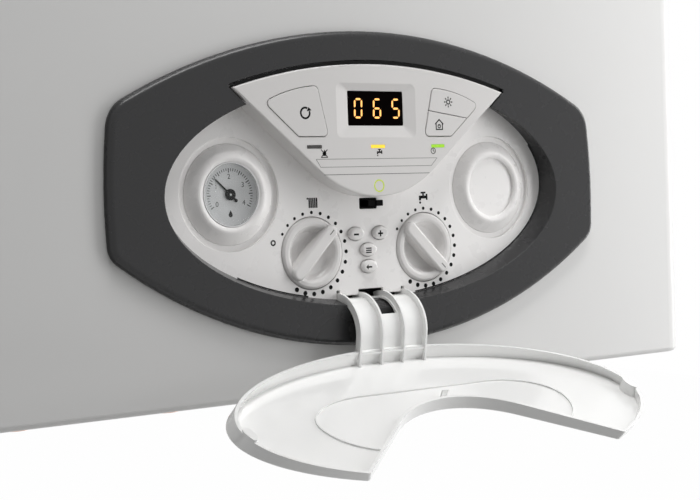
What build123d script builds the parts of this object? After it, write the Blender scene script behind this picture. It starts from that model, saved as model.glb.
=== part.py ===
from build123d import *
import os
from math import cos, radians, sin, tan

# A wall-hung storage combi boiler with its control panel and drop-down flap.
# Millimetres. The origin is the centre of the wall bracket's bolt pattern, on
# the wall. +X is right as seen from the front, -Y comes out of the wall, +Z up.

# --- casing -----------------------------------------------------------------
casing_width = 600.0
casing_height = 900.0
casing_depth = 459.0          # from the wall to the casing's front face
bolts_below_top = 40.0        # bracket bolts, below the casing's top
sheet = 1.0                   # casing steel
casing_edge = 18.0            # radius of the upright front edges
casing_return = 35.0          # depth of the front casing's sides
wall_space = 12.0             # room behind the rear frame for the bracket
frame_sheet = 1.5
joggle = 15.0                 # how far a panel reaches inside the front casing
flange_inset = 20.0           # rear frame's flanges, from the casing's sides
flange_width = 30.0

# --- wall bracket -----------------------------------------------------------
bracket_width = 440.0
bracket_height = 46.0
bracket_sheet = 2.0
bolt_spacing_x = 350.0
bolt_spacing_z = 24.0
bolt_hole = 5.0               # radius
hook_lip = 10.0

# --- control panel ----------------------------------------------------------
panel_rise = 135.6            # centre of the oval above the casing's bottom
fascia_behind = 6.4           # fascia plane behind the casing's front face
surround_proud = 6.0          # surround in front of the casing's front face
surround_half = 198.5
surround_top = 103.0
surround_bottom = 105.8
surround_top_radius = 388.0
surround_bottom_radius = 327.0
surround_side_radius = 420.0   # its sides bulge slightly
surround_side_drop = 8.0      # widest this far below the oval's centre
surround_top_corner = 22.0
surround_bottom_corner = 15.0
surround_edge = 4.5
surround_overlap = 6.0        # surround past the edge of the casing's cut-out
moulding = 2.5                # wall of the panel's mouldings
oval_a = 156.5                # half axes of the oval well, at the fascia
oval_b = 75.8
front_oval_a = 160.8          # and at the front of the surround
front_oval_b = 74.4
front_oval_drop = 4.8
fascia_margin = 6.0           # fascia hidden behind the surround

wedge_half = 111.0            # display cover: from the middle to a tip
wedge_tip = 63.6
wedge_top = 80.8
wedge_slope = 40.0            # degrees
wedge_nose = 73.8             # radius of its lower end
wedge_proud = 1.2             # in front of the surround
wedge_gap = 1.2               # to the surround
wedge_headroom = 1.6          # wider gap above it
window_width = 45.5
window_height = 23.0
window_rise = 51.5
window_slope_side = 10.0      # width of the dish round the window
window_slope_top = 5.0
window_slope_low = 8.0
window_sunk = 1.4
window_sheet = 1.2
lamp_pitch = 51.0
lamp_rise = 26.2
lamp_width = 11.5
lamp_height = 2.2
power_ring = 4.2              # radius
power_ring_width = 0.8
key_gap = 0.45                # between a key and its hole
key_travel = 0.8
key_proud = 0.4

knob_x = 46.6
knob_drop = 43.0
knob_radius = 23.8
knob_gap = 0.4
knob_proud = 1.6
knob_seat = 7.5               # depth of the knob behind the fascia
grip_width = 9.5
grip_proud = 4.8
grip_tip = 23.6               # from the knob's centre to the pointing end
grip_tail = 22.8
shaft_radius = 3.0
shaft_fit = 0.06
button_width = 12.9
button_height = 8.8
button_proud = 3.0
button_crown = 2.2            # radius of the rounded edge
button_flange = 1.3
button_places = {"minus": (-11.2, -31.6), "plus": (8.8, -31.6),
                 "menu": (-1.4, -42.6), "back": (-1.4, -53.8)}
switch_width = 14.5
switch_height = 7.5
switch_drop = 11.4
slider_width = 7.0
slider_height = 4.0
slider_travel = 5.0
slider_nose = 4.4             # how far the nose reaches past the slider

gauge_x = 107.8
gauge_drop = 3.0
ring_outer = 36.5             # radius of the round recess
ring_sunk = 2.0
ring_foot = 32.5
ring_crest = 24.5
ring_crest_proud = 3.5
dial_radius = 19.7
needle_length = 15.5
needle_angle = 137.0          # degrees, where the needle rests

# --- flap -------------------------------------------------------------------
flap_gap = 1.8                # to the oval well
flap_low = 73.3               # flap's lower edge, below the oval's centre
flap_skin = 2.2
flap_rib = 1.1
flap_notch_gap = 1.4          # to the display cover
flap_rim_notch = 5.4          # rim's edge in front of the fascia, at the notch
flap_rim_hinge = 1.0          # and at the hinge
pivot_drop = 96.4             # hinge below the oval's centre
pivot_behind = 0.5            # and behind the fascia plane
flap_opening = 114.5          # degrees, how far the flap stands open
arm_inner = 20.6
arm_outer = 25.8
arm_web = 1.6
arm_half = 27.7
arm_rib = 1.6
arm_tail = 134.0              # degrees from straight up, behind the panel
arm_bend = -16.5              # where the arc runs out into the straight foot
foot_tie = 9.5                # tie between the ribs, from there along the foot
hinge_pin_radius = 1.5
hinge_fit = 0.06
lug_gap = 1.0

# --- inside -----------------------------------------------------------------
box_half = 170.0              # control box
box_depth = 48.0
box_top = 100.0
box_bottom = 122.0
board_behind = 20.0           # main board behind the fascia
board_sheet = 1.6
board_half = 84.0
switch_button_height = 2.8
tank_radius = 100.0
tank_wall = 2.0
tank_rise = 230.0             # tanks above the casing's bottom
tank_headroom = 30.0          # and below its top
tank_clearance = 10.0         # to the side panels
vessel_gap = 12.0             # between the vessel and the tanks
vessel_length = 500.0
vessel_wall = 1.5
chamber_half = 210.0
chamber_sheet = 1.2
chamber_depth = 160.0
chamber_height = 555.0
flue_outer = 50.0
flue_inner = 30.0
flue_wall = 1.5
flue_rise = 40.0
fan_radius = 60.0
fan_width = 50.0
fan_shaft = 3.0
tail_pitch = 67.0
tail_drop = 45.0
tail_behind = 150.0           # tails in front of the wall
tail_wide = 13.2              # radius of the 3/4 inch tails
tail_narrow = 10.5            # radius of the 1/2 inch tails
tail_wall = 1.6
pipe_radius = 9.0
impeller_gap = 2.0
pump_shaft = 4.0
plate_count = 10

# --- places worked out from the sizes ---------------------------------------
half_width = casing_width / 2
top_z = bolts_below_top
bottom_z = top_z - casing_height
face_y = -casing_depth
fascia_y = face_y + fascia_behind
panel_z = bottom_z + panel_rise
front_out = fascia_behind + surround_proud   # surround's face, from the fascia
wedge_out = front_out + wedge_proud
rear_y = -wall_space
shell_y = rear_y - frame_sheet
tank_length = casing_height - tank_rise - tank_headroom
tank_x = half_width - tank_radius - tank_clearance
vessel_radius = tank_x - tank_radius - vessel_gap


# --- small helpers ----------------------------------------------------------
def block(xs, ys, zs):
    """Box between two values on each axis."""
    size = [max(span) - min(span) for span in (xs, ys, zs)]
    middle = [(span[0] + span[1]) / 2 for span in (xs, ys, zs)]
    return Pos(*middle) * Box(*size)


def rod_x(y, z, radius, xs):
    return Pos((xs[0] + xs[1]) / 2, y, z) * Rot(0, 90, 0) * Cylinder(radius, abs(xs[1] - xs[0]))


def rod_y(x, z, radius, ys):
    return Pos(x, (ys[0] + ys[1]) / 2, z) * Rot(90, 0, 0) * Cylinder(radius, abs(ys[1] - ys[0]))


def rod_z(x, y, radius, zs):
    return Pos(x, y, (zs[0] + zs[1]) / 2) * Cylinder(radius, abs(zs[1] - zs[0]))


def on_panel(out):
    """Plane parallel to the fascia, out millimetres in front of it."""
    return Plane(origin=(0, fascia_y - out, panel_z), x_dir=(1, 0, 0), z_dir=(0, -1, 0))


def slab(outline, start, end):
    """Extrude a panel outline between two distances in front of the fascia."""
    return extrude(on_panel(start) * outline, amount=end - start)


def drum(x, v, radius, start, end):
    """Cylinder square to the fascia."""
    return slab(Pos(x, v) * Circle(radius), start, end)


def turned(x, v, outline):
    """Revolve (radius, out) points about an axis square to the fascia."""
    plane = Plane(origin=(x, fascia_y, panel_z + v), x_dir=(1, 0, 0), z_dir=(0, 0, 1))
    flat = [(radius, -out) for radius, out in outline]
    face = make_face(Polyline(flat, close=True))
    return revolve(plane * face, Axis((x, fascia_y, panel_z + v), (0, 1, 0)))


def pipe(points, radius, bend):
    """Pipe of straight runs joined by tangent arcs."""
    path = FilletPolyline(*points, radius=bend)
    plane = Plane(origin=path @ 0, z_dir=path % 0)
    return sweep(plane * Circle(radius), path=path)


def group(solids):
    return Compound(children=[solid for part in solids for solid in part.solids()])


# --- outlines on the panel --------------------------------------------------
def arc_height(x, radius):
    return radius - (radius ** 2 - x ** 2) ** 0.5


def surround_outline(grow=0.0):
    """Flat arcs at the top and bottom and slightly bulged sides."""
    half = surround_half + grow
    top = surround_top + grow
    bottom = surround_bottom + grow

    def side(v):
        return half - arc_height(v + surround_side_drop, surround_side_radius + grow)

    upper = lower = 0
    for _ in range(20):
        upper = top - arc_height(side(upper), surround_top_radius + grow)
        lower = arc_height(side(lower), surround_bottom_radius + grow) - bottom
    x_up, x_low = side(upper), side(lower)
    face = make_face([
        ThreePointArc((-x_up, upper), (0, top), (x_up, upper)),
        ThreePointArc((x_up, upper), (half, -surround_side_drop), (x_low, lower)),
        ThreePointArc((x_low, lower), (0, -bottom), (-x_low, lower)),
        ThreePointArc((-x_low, lower), (-half, -surround_side_drop), (-x_up, upper)),
    ])
    corners = face.vertices().sort_by(Axis.Y)
    face = fillet(corners[2:], surround_top_corner + grow)
    corners = [corner for corner in face.vertices()
               if abs(corner.Y - lower) < 0.01 and abs(abs(corner.X) - x_low) < 0.01]
    return fillet(corners, surround_bottom_corner + grow)


def oval(out, grow=0.0):
    """The oval well's outline at a distance in front of the fascia."""
    share = out / front_out
    half_a = oval_a + share * (front_oval_a - oval_a) + grow
    half_b = oval_b + share * (front_oval_b - oval_b) + grow
    return Pos(0, -share * front_oval_drop) * Ellipse(half_a, half_b)


def wedge_outline(grow=0.0):
    """Display cover: an arc on top, two slanting sides and a rounded nose."""
    fall = wedge_top - wedge_tip
    arc_radius = (wedge_half ** 2 + fall ** 2) / (2 * fall)
    arc_centre = wedge_top - arc_radius
    arc_radius += grow
    slope = tan(radians(wedge_slope))
    point = wedge_tip - wedge_half * slope - grow / cos(radians(wedge_slope))
    rise = point - arc_centre
    spread = slope ** 2 + 1
    half = ((slope * rise) ** 2 - spread * (rise ** 2 - arc_radius ** 2)) ** 0.5
    half = (half - slope * rise) / spread
    tip = point + half * slope
    face = make_face([
        ThreePointArc((-half, tip), (0, arc_centre + arc_radius), (half, tip)),
        Line((half, tip), (0, point)),
        Line((0, point), (-half, tip)),
    ])
    nose = face.vertices().sort_by(Axis.Y)[0]
    return fillet([nose], wedge_nose + grow)


def key_outline(side, grow=0.0):
    """Area of the keys on one side of the display, before it is divided."""
    corners = [(47.5, 65.5), (39.8, 33.0), (63.0, 33.0), (88.0, 54.5)]
    face = make_face([
        Line(corners[0], corners[1]), Line(corners[1], corners[2]),
        Line(corners[2], corners[3]),
        ThreePointArc(corners[3], (69.0, 62.0), corners[0]),
    ])
    face = fillet(face.vertices(), 3.0)
    if grow:
        face = offset(face, grow)
    return mirror(face, Plane.YZ) if side < 0 else face


# --- casing and frame -------------------------------------------------------
def wall_bracket():
    half = bracket_width / 2
    low = -bracket_height / 2 - 3
    high = low + bracket_height
    plate = block((-half, half), (-bracket_sheet, 0), (low, high))
    ledge = block((-half, half), (-wall_space + 3, 0), (high - bracket_sheet, high))
    lip = block((-half, half), (-wall_space + 3, -wall_space + 3 + frame_sheet),
                (high, high + hook_lip))
    body = plate + ledge + lip
    for x in (-bolt_spacing_x / 2, bolt_spacing_x / 2):
        for z in (-bolt_spacing_z / 2, bolt_spacing_z / 2):
            body -= rod_y(x, z, bolt_hole, (-bracket_sheet - 1, 1))
    return body


def rear_frame():
    half = half_width - sheet
    lip_top = bracket_height / 2 - 3 + hook_lip
    plate = block((-half, half), (shell_y, rear_y), (bottom_z + sheet, top_z - sheet))
    hook = block((-bracket_width / 2, bracket_width / 2), (rear_y, rear_y + 8),
                 (lip_top, lip_top + frame_sheet))
    hook += block((-bracket_width / 2, bracket_width / 2), (rear_y + 6.5, rear_y + 8),
                  (lip_top - hook_lip + 2, lip_top))
    body = plate + hook
    for side in (-1, 1):
        outer = side * (half_width - flange_inset)
        inner = outer - side * flange_width
        body += block((inner, outer), (-frame_sheet, 0), (bottom_z + 20, top_z - 60))
        body += block((outer, outer - side * frame_sheet), (rear_y, 0),
                      (bottom_z + 20, top_z - 60))
    for x in (-tank_x, tank_x):
        body += block((x - 17, x + 17), (shell_y, -tank_behind() - 30), (tank_low() - 3, tank_low()))
    return body


def side_panel(side):
    outer = side * half_width
    front = face_y + casing_return + 0.5
    body = block((outer, outer - side * sheet), (front, 0 + rear_y), (bottom_z, top_z))
    level = (bottom_z + 2 * sheet + 1, top_z - 2 * sheet - 1)
    body += block((outer - side * sheet, outer - side * 2 * sheet), (front, front + joggle), level)
    inset = outer - side * (sheet + 0.2)
    body += block((inset, inset - side * sheet), (front - joggle, front + joggle), level)
    return body


def tray(level, up):
    """Top or bottom panel with its lip inside the front casing."""
    inner = level - up * sheet
    half = half_width - sheet
    front = face_y + casing_return + 0.5
    body = block((-half, half), (front, shell_y), (level, inner))
    body += block((-half + casing_edge, half - casing_edge), (front - joggle, front + joggle),
                  (inner, inner - up * sheet))
    return body


def top_panel():
    body = tray(top_z, 1)
    return body - rod_z(0, flue_y(), flue_outer + 1, (top_z - 3, top_z + 1))


def screw_holes():
    y = face_y + casing_return - joggle / 2
    return [rod_z(x, y, 2.0, (bottom_z - 1, bottom_z + 12)) for x in (-200, 200)]


def bottom_tray():
    body = tray(bottom_z, -1) - screw_holes()
    for x, radius in tails():
        body -= rod_z(x, -tail_behind, radius + 6, (bottom_z - 1, bottom_z + 3))
    return body - rod_z(-200, -60, 8, (bottom_z - 1, bottom_z + 3))


def front_casing():
    depth = casing_return

    def shell(inset):
        core = block((-half_width + inset, half_width - inset),
                     (face_y + inset, face_y + depth + (1 if inset else 0)),
                     (bottom_z + inset, top_z - inset))
        front = core.faces().sort_by(Axis.Y)[0]
        upright = [edge for edge in core.edges().filter_by(Axis.Z)
                   if edge.center().Y < face_y + inset + 0.1]
        core = fillet(upright, casing_edge - inset)
        level = [edge for edge in core.edges()
                 if abs(edge.center().Y - front.center().Y) < 0.01
                 and abs(abs(edge.center().Z - (top_z + bottom_z) / 2)
                         - (casing_height / 2 - inset)) < 0.01
                 and abs(edge.center().X) < 1]
        return fillet(level, 4.0 - inset) if level else core

    body = shell(0) - shell(sheet) - screw_holes()
    return body - slab(surround_outline(-surround_overlap), fascia_behind - 5, fascia_behind + 5)


def casing_screws():
    y = face_y + casing_return - joggle / 2
    parts = []
    for x in (-200, 200):
        head = rod_z(x, y, 4.5, (bottom_z - 2.0, bottom_z))
        shank = rod_z(x, y, 1.9, (bottom_z, bottom_z + 9))
        parts.append(head + shank)
    return group(parts)


# --- control panel ----------------------------------------------------------
def oval_cut(start, end, grow=0.0):
    """Well of the oval: it widens from the fascia to the front."""
    return loft([on_panel(start) * oval(start, grow), on_panel(end) * oval(end, grow)])


def panel_surround():
    ring = slab(surround_outline(), fascia_behind, front_out)
    front = [edge for edge in ring.edges()
             if abs(edge.center().Y - (fascia_y - front_out)) < 0.01]
    ring = fillet(front, surround_edge)
    hollow = slab(surround_outline(-surround_edge - 1), fascia_behind - 1, front_out - moulding)
    skirt_out = surround_outline(-surround_overlap - 0.5)
    skirt_in = surround_outline(-surround_overlap - 0.5 - moulding)
    skirt = slab(skirt_out, 0, front_out - moulding) - slab(skirt_in, -1, front_out)
    wall = oval_cut(0, front_out - moulding, moulding)
    wall += slab(wedge_outline(wedge_gap + moulding), 0, front_out - moulding)
    body = ring - hollow
    body += skirt + (wall & slab(skirt_out, 0, front_out))
    body -= oval_cut(0, front_out + 0.01)
    for rise in (0, wedge_headroom):
        body -= slab(Pos(0, rise) * wedge_outline(wedge_gap), -1, front_out + 1)
    pivot_y, pivot_z = pivot()
    for side in (-1, 1):
        near = side * (arm_half + lug_gap)
        far = side * (arm_half + lug_gap + 4)
        body += block((near, far), (pivot_y - 4, pivot_y + 4), (pivot_z - 4, pivot_z + 4))
        body += block((near, far), (pivot_y - 3, fascia_y - front_out + 1),
                      (pivot_z + 1, pivot_z + 6))
    slots = arm_space(1.0)
    return body - slots - rod_x(pivot_y, pivot_z, hinge_pin_radius, (-50, 50))


def pivot():
    return fascia_y + pivot_behind, panel_z - pivot_drop


def arm_space(gap):
    """Space that the flap's arms sweep through the panel."""
    pivot_y, pivot_z = pivot()
    half = arm_half + lug_gap
    space = (rod_x(pivot_y, pivot_z, slot_radius() + gap, (-half, half))
             - rod_x(pivot_y, pivot_z, arm_inner - gap, (-half - 1, half + 1)))
    hub = rod_x(pivot_y, pivot_z, 5.5 + gap, (-half, half))
    return space + hub


def rib_middles():
    """X of the middle of each of the arms' four ribs."""
    return [place * (arm_half - arm_rib / 2) for place in (-1, -1 / 3, 1 / 3, 1)]


def arm_slots(gap):
    """Slots of the fascia for the arms: deep at the ribs and between the middle two."""
    pivot_y, pivot_z = pivot()

    def band(outer, middle, half):
        xs = (middle - half, middle + half)
        return (rod_x(pivot_y, pivot_z, outer + gap, xs)
                - rod_x(pivot_y, pivot_z, arm_inner - gap, (xs[0] - 1, xs[1] + 1)))

    far = slot_radius()
    space = band(far - arm_outer + arm_inner + arm_web, 0, arm_half + gap)
    space += band(far, 0, rib_middles()[2])
    return space + [band(far, middle, arm_rib / 2 + gap) for middle in rib_middles()]


def knob_centre(side):
    return side * knob_x, -knob_drop


def panel_fascia():
    body = slab(oval(0, fascia_margin), -moulding, -0.02)
    body += slab(wedge_outline(fascia_margin), -moulding, -0.02)
    for side in (-1, 1):
        x = side * gauge_x
        body += drum(x, -gauge_drop, ring_outer + 2.5, -ring_sunk - moulding, -moulding)
        body -= drum(x, -gauge_drop, ring_outer, -ring_sunk, 1)
        body -= drum(x, -gauge_drop, ring_crest, -10, 1)
        x, v = knob_centre(side)
        depth = knob_seat + 0.6
        body += drum(x, v, knob_radius + knob_gap + 1.6, -depth - 1.6, -moulding)
        body -= drum(x, v, knob_radius + knob_gap, -depth, 1)
        body -= drum(x, v, 5.0, -depth - 3, 1)
    body -= slab(wedge_outline(-moulding - 1.0), -6, 1)
    body -= slab(Pos(0, -switch_drop) * RectangleRounded(switch_width, switch_height, 1), -6, 1)
    for x, v in button_places.values():
        body -= slab(Pos(x, v) * Ellipse(button_width / 2 + key_gap, button_height / 2 + key_gap),
                     -6, 1)
    return body - arm_slots(0.5)


def display_cover():
    body = slab(wedge_outline(), 0, wedge_out)
    front = [edge for edge in body.edges()
             if abs(edge.center().Y - (fascia_y - wedge_out)) < 0.01]
    body = fillet(front, 1.2)
    body -= slab(wedge_outline(-moulding), -1, wedge_out - moulding)
    window = Pos(0, window_rise)
    body -= slab(window * RectangleRounded(window_width, window_height, 1), 0, wedge_out + 1)
    edge = on_panel(wedge_out + 0.01) * (
        Pos(0, window_rise + (window_slope_top - window_slope_low) / 2)
        * RectangleRounded(window_width + 2 * window_slope_side,
                           window_height + window_slope_top + window_slope_low, 4))
    floor = on_panel(wedge_out - window_sunk) * (
        window * RectangleRounded(window_width + 0.6, window_height + 0.6, 1))
    body -= loft([floor, edge])
    for side in (-1, 1):
        body -= slab(key_outline(side, key_gap), 0, wedge_out + 1)
    for lamp in (-1, 0, 1):
        body -= slab(Pos(lamp * lamp_pitch, lamp_rise) * Rectangle(lamp_width, lamp_height),
                     0, wedge_out + 1)
    ring = Circle(power_ring) - Circle(power_ring - power_ring_width)
    return body - slab(ring, wedge_out - 1.0, wedge_out + 1)


def display_window():
    return slab(Pos(0, window_rise) * RectangleRounded(window_width - 0.2, window_height - 0.2, 0.9),
                wedge_out - window_sunk - window_sheet, wedge_out - window_sunk)


def display_module():
    front = wedge_out - window_sunk - window_sheet - 0.3
    place = Pos(0, window_rise)
    body = slab(place * Rectangle(window_width - 2, window_height - 2), -board_behind, front)
    return body


def indicator_lenses():
    return group([slab(Pos(lamp * lamp_pitch, lamp_rise)
                       * Rectangle(lamp_width - 0.1, lamp_height - 0.1),
                       -board_behind, wedge_out + 0.1) for lamp in (-1, 0, 1)])


def power_lens():
    ring = Circle(power_ring - 0.05) - Circle(power_ring - power_ring_width + 0.05)
    return slab(ring, wedge_out - 1.0, wedge_out + 0.1)


def key(outline):
    """Push key: cap flush with its cover, flange behind it, stem to its switch."""
    cap = slab(outline, wedge_out - moulding - 1.5, wedge_out + key_proud)
    front = [edge for edge in cap.edges()
             if abs(edge.center().Y - (fascia_y - wedge_out - key_proud)) < 0.01]
    cap = fillet(front, 0.3)
    middle = cap.center(CenterOf.BOUNDING_BOX)
    stem = rod_y(middle.X, middle.Z, 2.5,
                 (middle.Y, fascia_y + board_behind - switch_button_height - key_travel - 0.3))
    return cap + stem


def divided(side, upper):
    """One half of the divided key area, cut by a slanting gap."""
    area = key_outline(side)
    gap = 0.5
    cut = Pos(60.5, 47.8) * Rot(0, 0, -8.4)
    if upper:
        keep = cut * Pos(0, 30 + gap / 2) * Rectangle(120, 60)
    else:
        keep = cut * Pos(0, -30 - gap / 2) * Rectangle(120, 60)
    return area & keep


def ring_profile(inner, floor):
    """Raised ring round the gauge: radius and height in front of the fascia."""
    crest = ring_crest
    return [(inner, floor), (inner, ring_crest_proud - 1.0), (crest - 2.6, ring_crest_proud - 0.3),
            (crest - 1.2, ring_crest_proud), (crest, ring_crest_proud - 0.2),
            (crest + 1.2, ring_crest_proud - 0.8), (ring_foot, -ring_sunk),
            (ring_crest - 1, -ring_sunk), (ring_crest - 1, floor)]


def gauge_bezel():
    return turned(-gauge_x, -gauge_drop, ring_profile(dial_radius + 1.0, -6.0))


def gauge_case():
    outline = [(0, -26), (dial_radius + 0.8, -26), (dial_radius + 0.8, 2.9),
               (dial_radius + 0.2, 2.9), (dial_radius + 0.2, 0), (0.7, 0), (0.7, 1.6), (0, 1.6)]
    return turned(-gauge_x, -gauge_drop, outline)


def gauge_dial():
    return turned(-gauge_x, -gauge_drop,
                  [(0.8, 0), (dial_radius, 0), (dial_radius, 0.4), (0.8, 0.4)])


def gauge_needle():
    hub = Circle(3.6) - Circle(0.75)
    blade = make_face(Polyline((-5.5, -0.7), (needle_length - 2, -0.45), (needle_length, 0),
                               (needle_length - 2, 0.45), (-5.5, 0.7), close=True))
    flat = Rot(0, 0, needle_angle) * (blade - Circle(0.75))
    ball = Rot(0, 0, needle_angle) * Pos(-5.6, 0) * Circle(1.1)
    place = Pos(-gauge_x, -gauge_drop)
    return slab(place * (flat + ball), 0.8, 1.1) + slab(place * hub, 0.8, 1.5)


def gauge_lens():
    return turned(-gauge_x, -gauge_drop,
                  [(0, 2.0), (dial_radius + 0.1, 2.0), (dial_radius + 0.1, 2.8), (0, 2.8)])


def timer_blank():
    outline = ring_profile(dial_radius + 1.0, -6.0)
    ring = turned(gauge_x, -gauge_drop, outline)
    cap = turned(gauge_x, -gauge_drop, [(0, -4), (dial_radius + 1.1, -4),
                                        (dial_radius + 1.1, 1.0), (0, 1.0)])
    return ring + cap


def knob(side):
    x, v = knob_centre(side)
    rim = knob_radius
    outline = [(0, -knob_seat), (rim, -knob_seat), (rim, -0.6),
               (rim - 0.5, knob_proud - 0.9), (rim - 1.8, knob_proud - 0.1),
               (rim - 4.2, knob_proud), (rim - 5.8, knob_proud - 0.6), (rim - 7.2, -1.2),
               (rim - 9.5, -3.4), (9, -4.4), (0, -4.5)]
    body = turned(x, v, outline)
    place = Pos(x, v) * Rot(0, 0, side * -45) * Pos((grip_tip - grip_tail) / 2, 0)
    grip = place * RectangleRounded(grip_tip + grip_tail, grip_width, grip_width / 2 - 0.1)
    under = 1.5
    bar = slab(grip, under, grip_proud)
    top = [edge for edge in bar.edges()
           if abs(edge.center().Y - (fascia_y - grip_proud)) < 0.01]
    body += fillet(top, 2.0)
    body += slab(grip, -5.0, under) & drum(x, v, rim - 1, -5.0, under)
    return body - drum(x, v, shaft_radius + shaft_fit, -knob_seat - 1, under)


def dial_encoders():
    parts = []
    for side in (-1, 1):
        x, v = knob_centre(side)
        housing = slab(Pos(x, v) * Rectangle(16, 18), -board_behind, -knob_seat - 4)
        parts.append(housing + drum(x, v, shaft_radius, -knob_seat - 4, 0.8))
    return group(parts)


def switch_body():
    place = Pos(0, -switch_drop)
    body = slab(place * RectangleRounded(switch_width - 0.2, switch_height - 0.2, 0.9),
                -board_behind, -0.3)
    slot = Rectangle(slider_width + slider_travel + 0.6, slider_height + 0.7)
    return body - slab(place * slot, -6, 1)


def switch_slider():
    place = Pos(slider_travel / 2, -switch_drop)
    stem = slab(place * RectangleRounded(slider_width, slider_height, 0.6), -5.6, 2.0)
    nose = place * Pos((slider_width + slider_nose - 1) / 2, 0)
    return stem + slab(nose * RectangleRounded(slider_nose + 1, slider_height, 0.6), 0.4, 3.0)


def push_button(name):
    x, v = button_places[name]
    cap = slab(Pos(x, v) * Ellipse(button_width / 2, button_height / 2), -3.5, button_proud)
    front = [edge for edge in cap.edges()
             if abs(edge.center().Y - (fascia_y - button_proud)) < 0.01]
    cap = fillet(front, button_crown)
    flange = slab(Pos(x, v) * Ellipse(button_width / 2 + button_flange,
                                      button_height / 2 + button_flange / 2),
                  -4.5, -moulding - 0.1)
    stem = drum(x, v, 2.0, -board_behind + switch_button_height + key_travel + 0.3, -4)
    return cap + flange + stem


# --- flap -------------------------------------------------------------------
def arc_band(inner, outer, start, end, xs):
    """Part of a ring about the hinge; angles from straight up, forward positive."""
    pivot_y, pivot_z = pivot()

    def at(radius, angle):
        turn = radians(angle)
        return (pivot_y - radius * sin(turn), pivot_z + radius * cos(turn))

    middle = (start + end) / 2
    face = make_face([
        ThreePointArc(at(outer, start), at(outer, middle), at(outer, end)),
        Line(at(outer, end), at(inner, end)),
        ThreePointArc(at(inner, end), at(inner, middle), at(inner, start)),
        Line(at(inner, start), at(outer, start)),
    ])
    plane = Plane(origin=(min(xs), 0, 0), x_dir=(0, 1, 0), z_dir=(1, 0, 0))
    return extrude(plane * face, amount=abs(xs[1] - xs[0]))


def flap_rib_outline(grow):
    """Long rounded shape of the stiffening rib inside the flap."""
    half, low, high = 49 + grow, 28.5 + grow, 37 + grow
    shape = Rectangle(100, low + high)
    shape = Pos(0, -4 + (high - low) / 2) * shape
    for side in (-1, 1):
        middle = Pos(side * 50, -4)
        shape += middle * (Ellipse(half, low) & Pos(0, -50) * Rectangle(200, 100))
        shape += middle * (Ellipse(half, high) & Pos(0, 50) * Rectangle(200, 100))
    return shape


def flap_space(start, end, grow):
    """What the shut flap fills of the well: less of it at the hinge."""
    def section(out):
        share = out / front_out
        middle = -share * front_oval_drop
        half_a = oval_a + share * (front_oval_a - oval_a) - flap_gap + grow
        upper = oval_b + share * (front_oval_b - oval_b) - flap_gap + grow
        lower = flap_low + middle + grow
        size = 2 * half_width
        high = Ellipse(half_a, upper) & Pos(0, size / 2) * Rectangle(size, size)
        low = Ellipse(half_a, lower) & Pos(0, -size / 2) * Rectangle(size, size)
        return on_panel(out) * Pos(0, middle) * (high + low)

    return loft([section(start), section(end)])


def flap():
    """Drawn shut, then turned about its hinge to stand open."""
    body = flap_space(0, front_out, 0) - slab(wedge_outline(flap_notch_gap), -1, front_out + 1)
    tips = [edge for edge in body.edges()
            if edge.length < 1.2 * front_out and abs(edge.center().X) > wedge_half / 2]
    body = fillet(tips, 2.5)
    front = [edge for edge in body.edges()
             if abs(edge.center().Y - (fascia_y - front_out)) < 0.01]
    body = fillet(front, 1.2)
    whole = body
    body -= (flap_space(-1, front_out - flap_skin, -flap_skin)
             - slab(wedge_outline(flap_notch_gap + flap_skin), -2, front_out))
    slope = (flap_rim_notch - flap_rim_hinge) / (wedge_tip - 13 + flap_low)

    def rim(v):
        return flap_rim_hinge + slope * (v + flap_low)

    profile = [(-5, -120), (rim(-120), -120), (rim(90), 90), (-5, 90)]
    points = [(fascia_y - out, panel_z + v) for out, v in profile]
    plane = Plane(origin=(-half_width, 0, 0), x_dir=(0, 1, 0), z_dir=(1, 0, 0))
    body -= extrude(plane * make_face(Polyline(points, close=True)), amount=casing_width)
    floor = front_out - flap_skin
    rib = flap_rib_outline(0) - flap_rib_outline(-flap_rib)
    body += slab(rib, floor - flap_rib, floor + 0.5) & whole
    for side in (-1, 1):
        hump = Pos(side * (oval_a - flap_gap - 2.0), 3) * Ellipse(3.2, 7)
        body += slab(hump, rim(3) - 1.2, floor) & flap_space(0, floor + 1, 0)
    body += block((5.5, 10), (fascia_y - floor, fascia_y - floor + 5.5),
                  (panel_z - 20.6, panel_z - 19.2))
    pivot_y, pivot_z = pivot()
    return (body + arms()).rotate(Axis((0, pivot_y, pivot_z), (1, 0, 0)), flap_opening)


def foot_length(radius):
    """Straight end of the arms, from the bend to the flap's inner face."""
    turn = radians(arm_bend)
    return (front_out - flap_skin + 0.5 + pivot_behind - radius * sin(turn)) / cos(turn)


def foot(inner, outer, start, end, xs):
    """Piece of the arms' straight end; start and end run along it from the bend."""
    pivot_y, pivot_z = pivot()
    turn = radians(arm_bend)

    def at(radius, run):
        return (pivot_y - radius * sin(turn) - run * cos(turn),
                pivot_z + radius * cos(turn) - run * sin(turn))

    far_inner, far_outer = (end, end) if end else (foot_length(inner), foot_length(outer))
    face = make_face(Polyline(at(inner, start), at(outer, start), at(outer, far_outer),
                              at(inner, far_inner), close=True))
    plane = Plane(origin=(min(xs), 0, 0), x_dir=(0, 1, 0), z_dir=(1, 0, 0))
    return extrude(plane * face, amount=abs(xs[1] - xs[0]))


def slot_radius():
    """How far from the hinge the straight end reaches where it passes the fascia."""
    turn = radians(arm_bend)
    run = (pivot_behind - arm_outer * sin(turn)) / cos(turn)
    return (arm_outer ** 2 + run ** 2) ** 0.5


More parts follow.
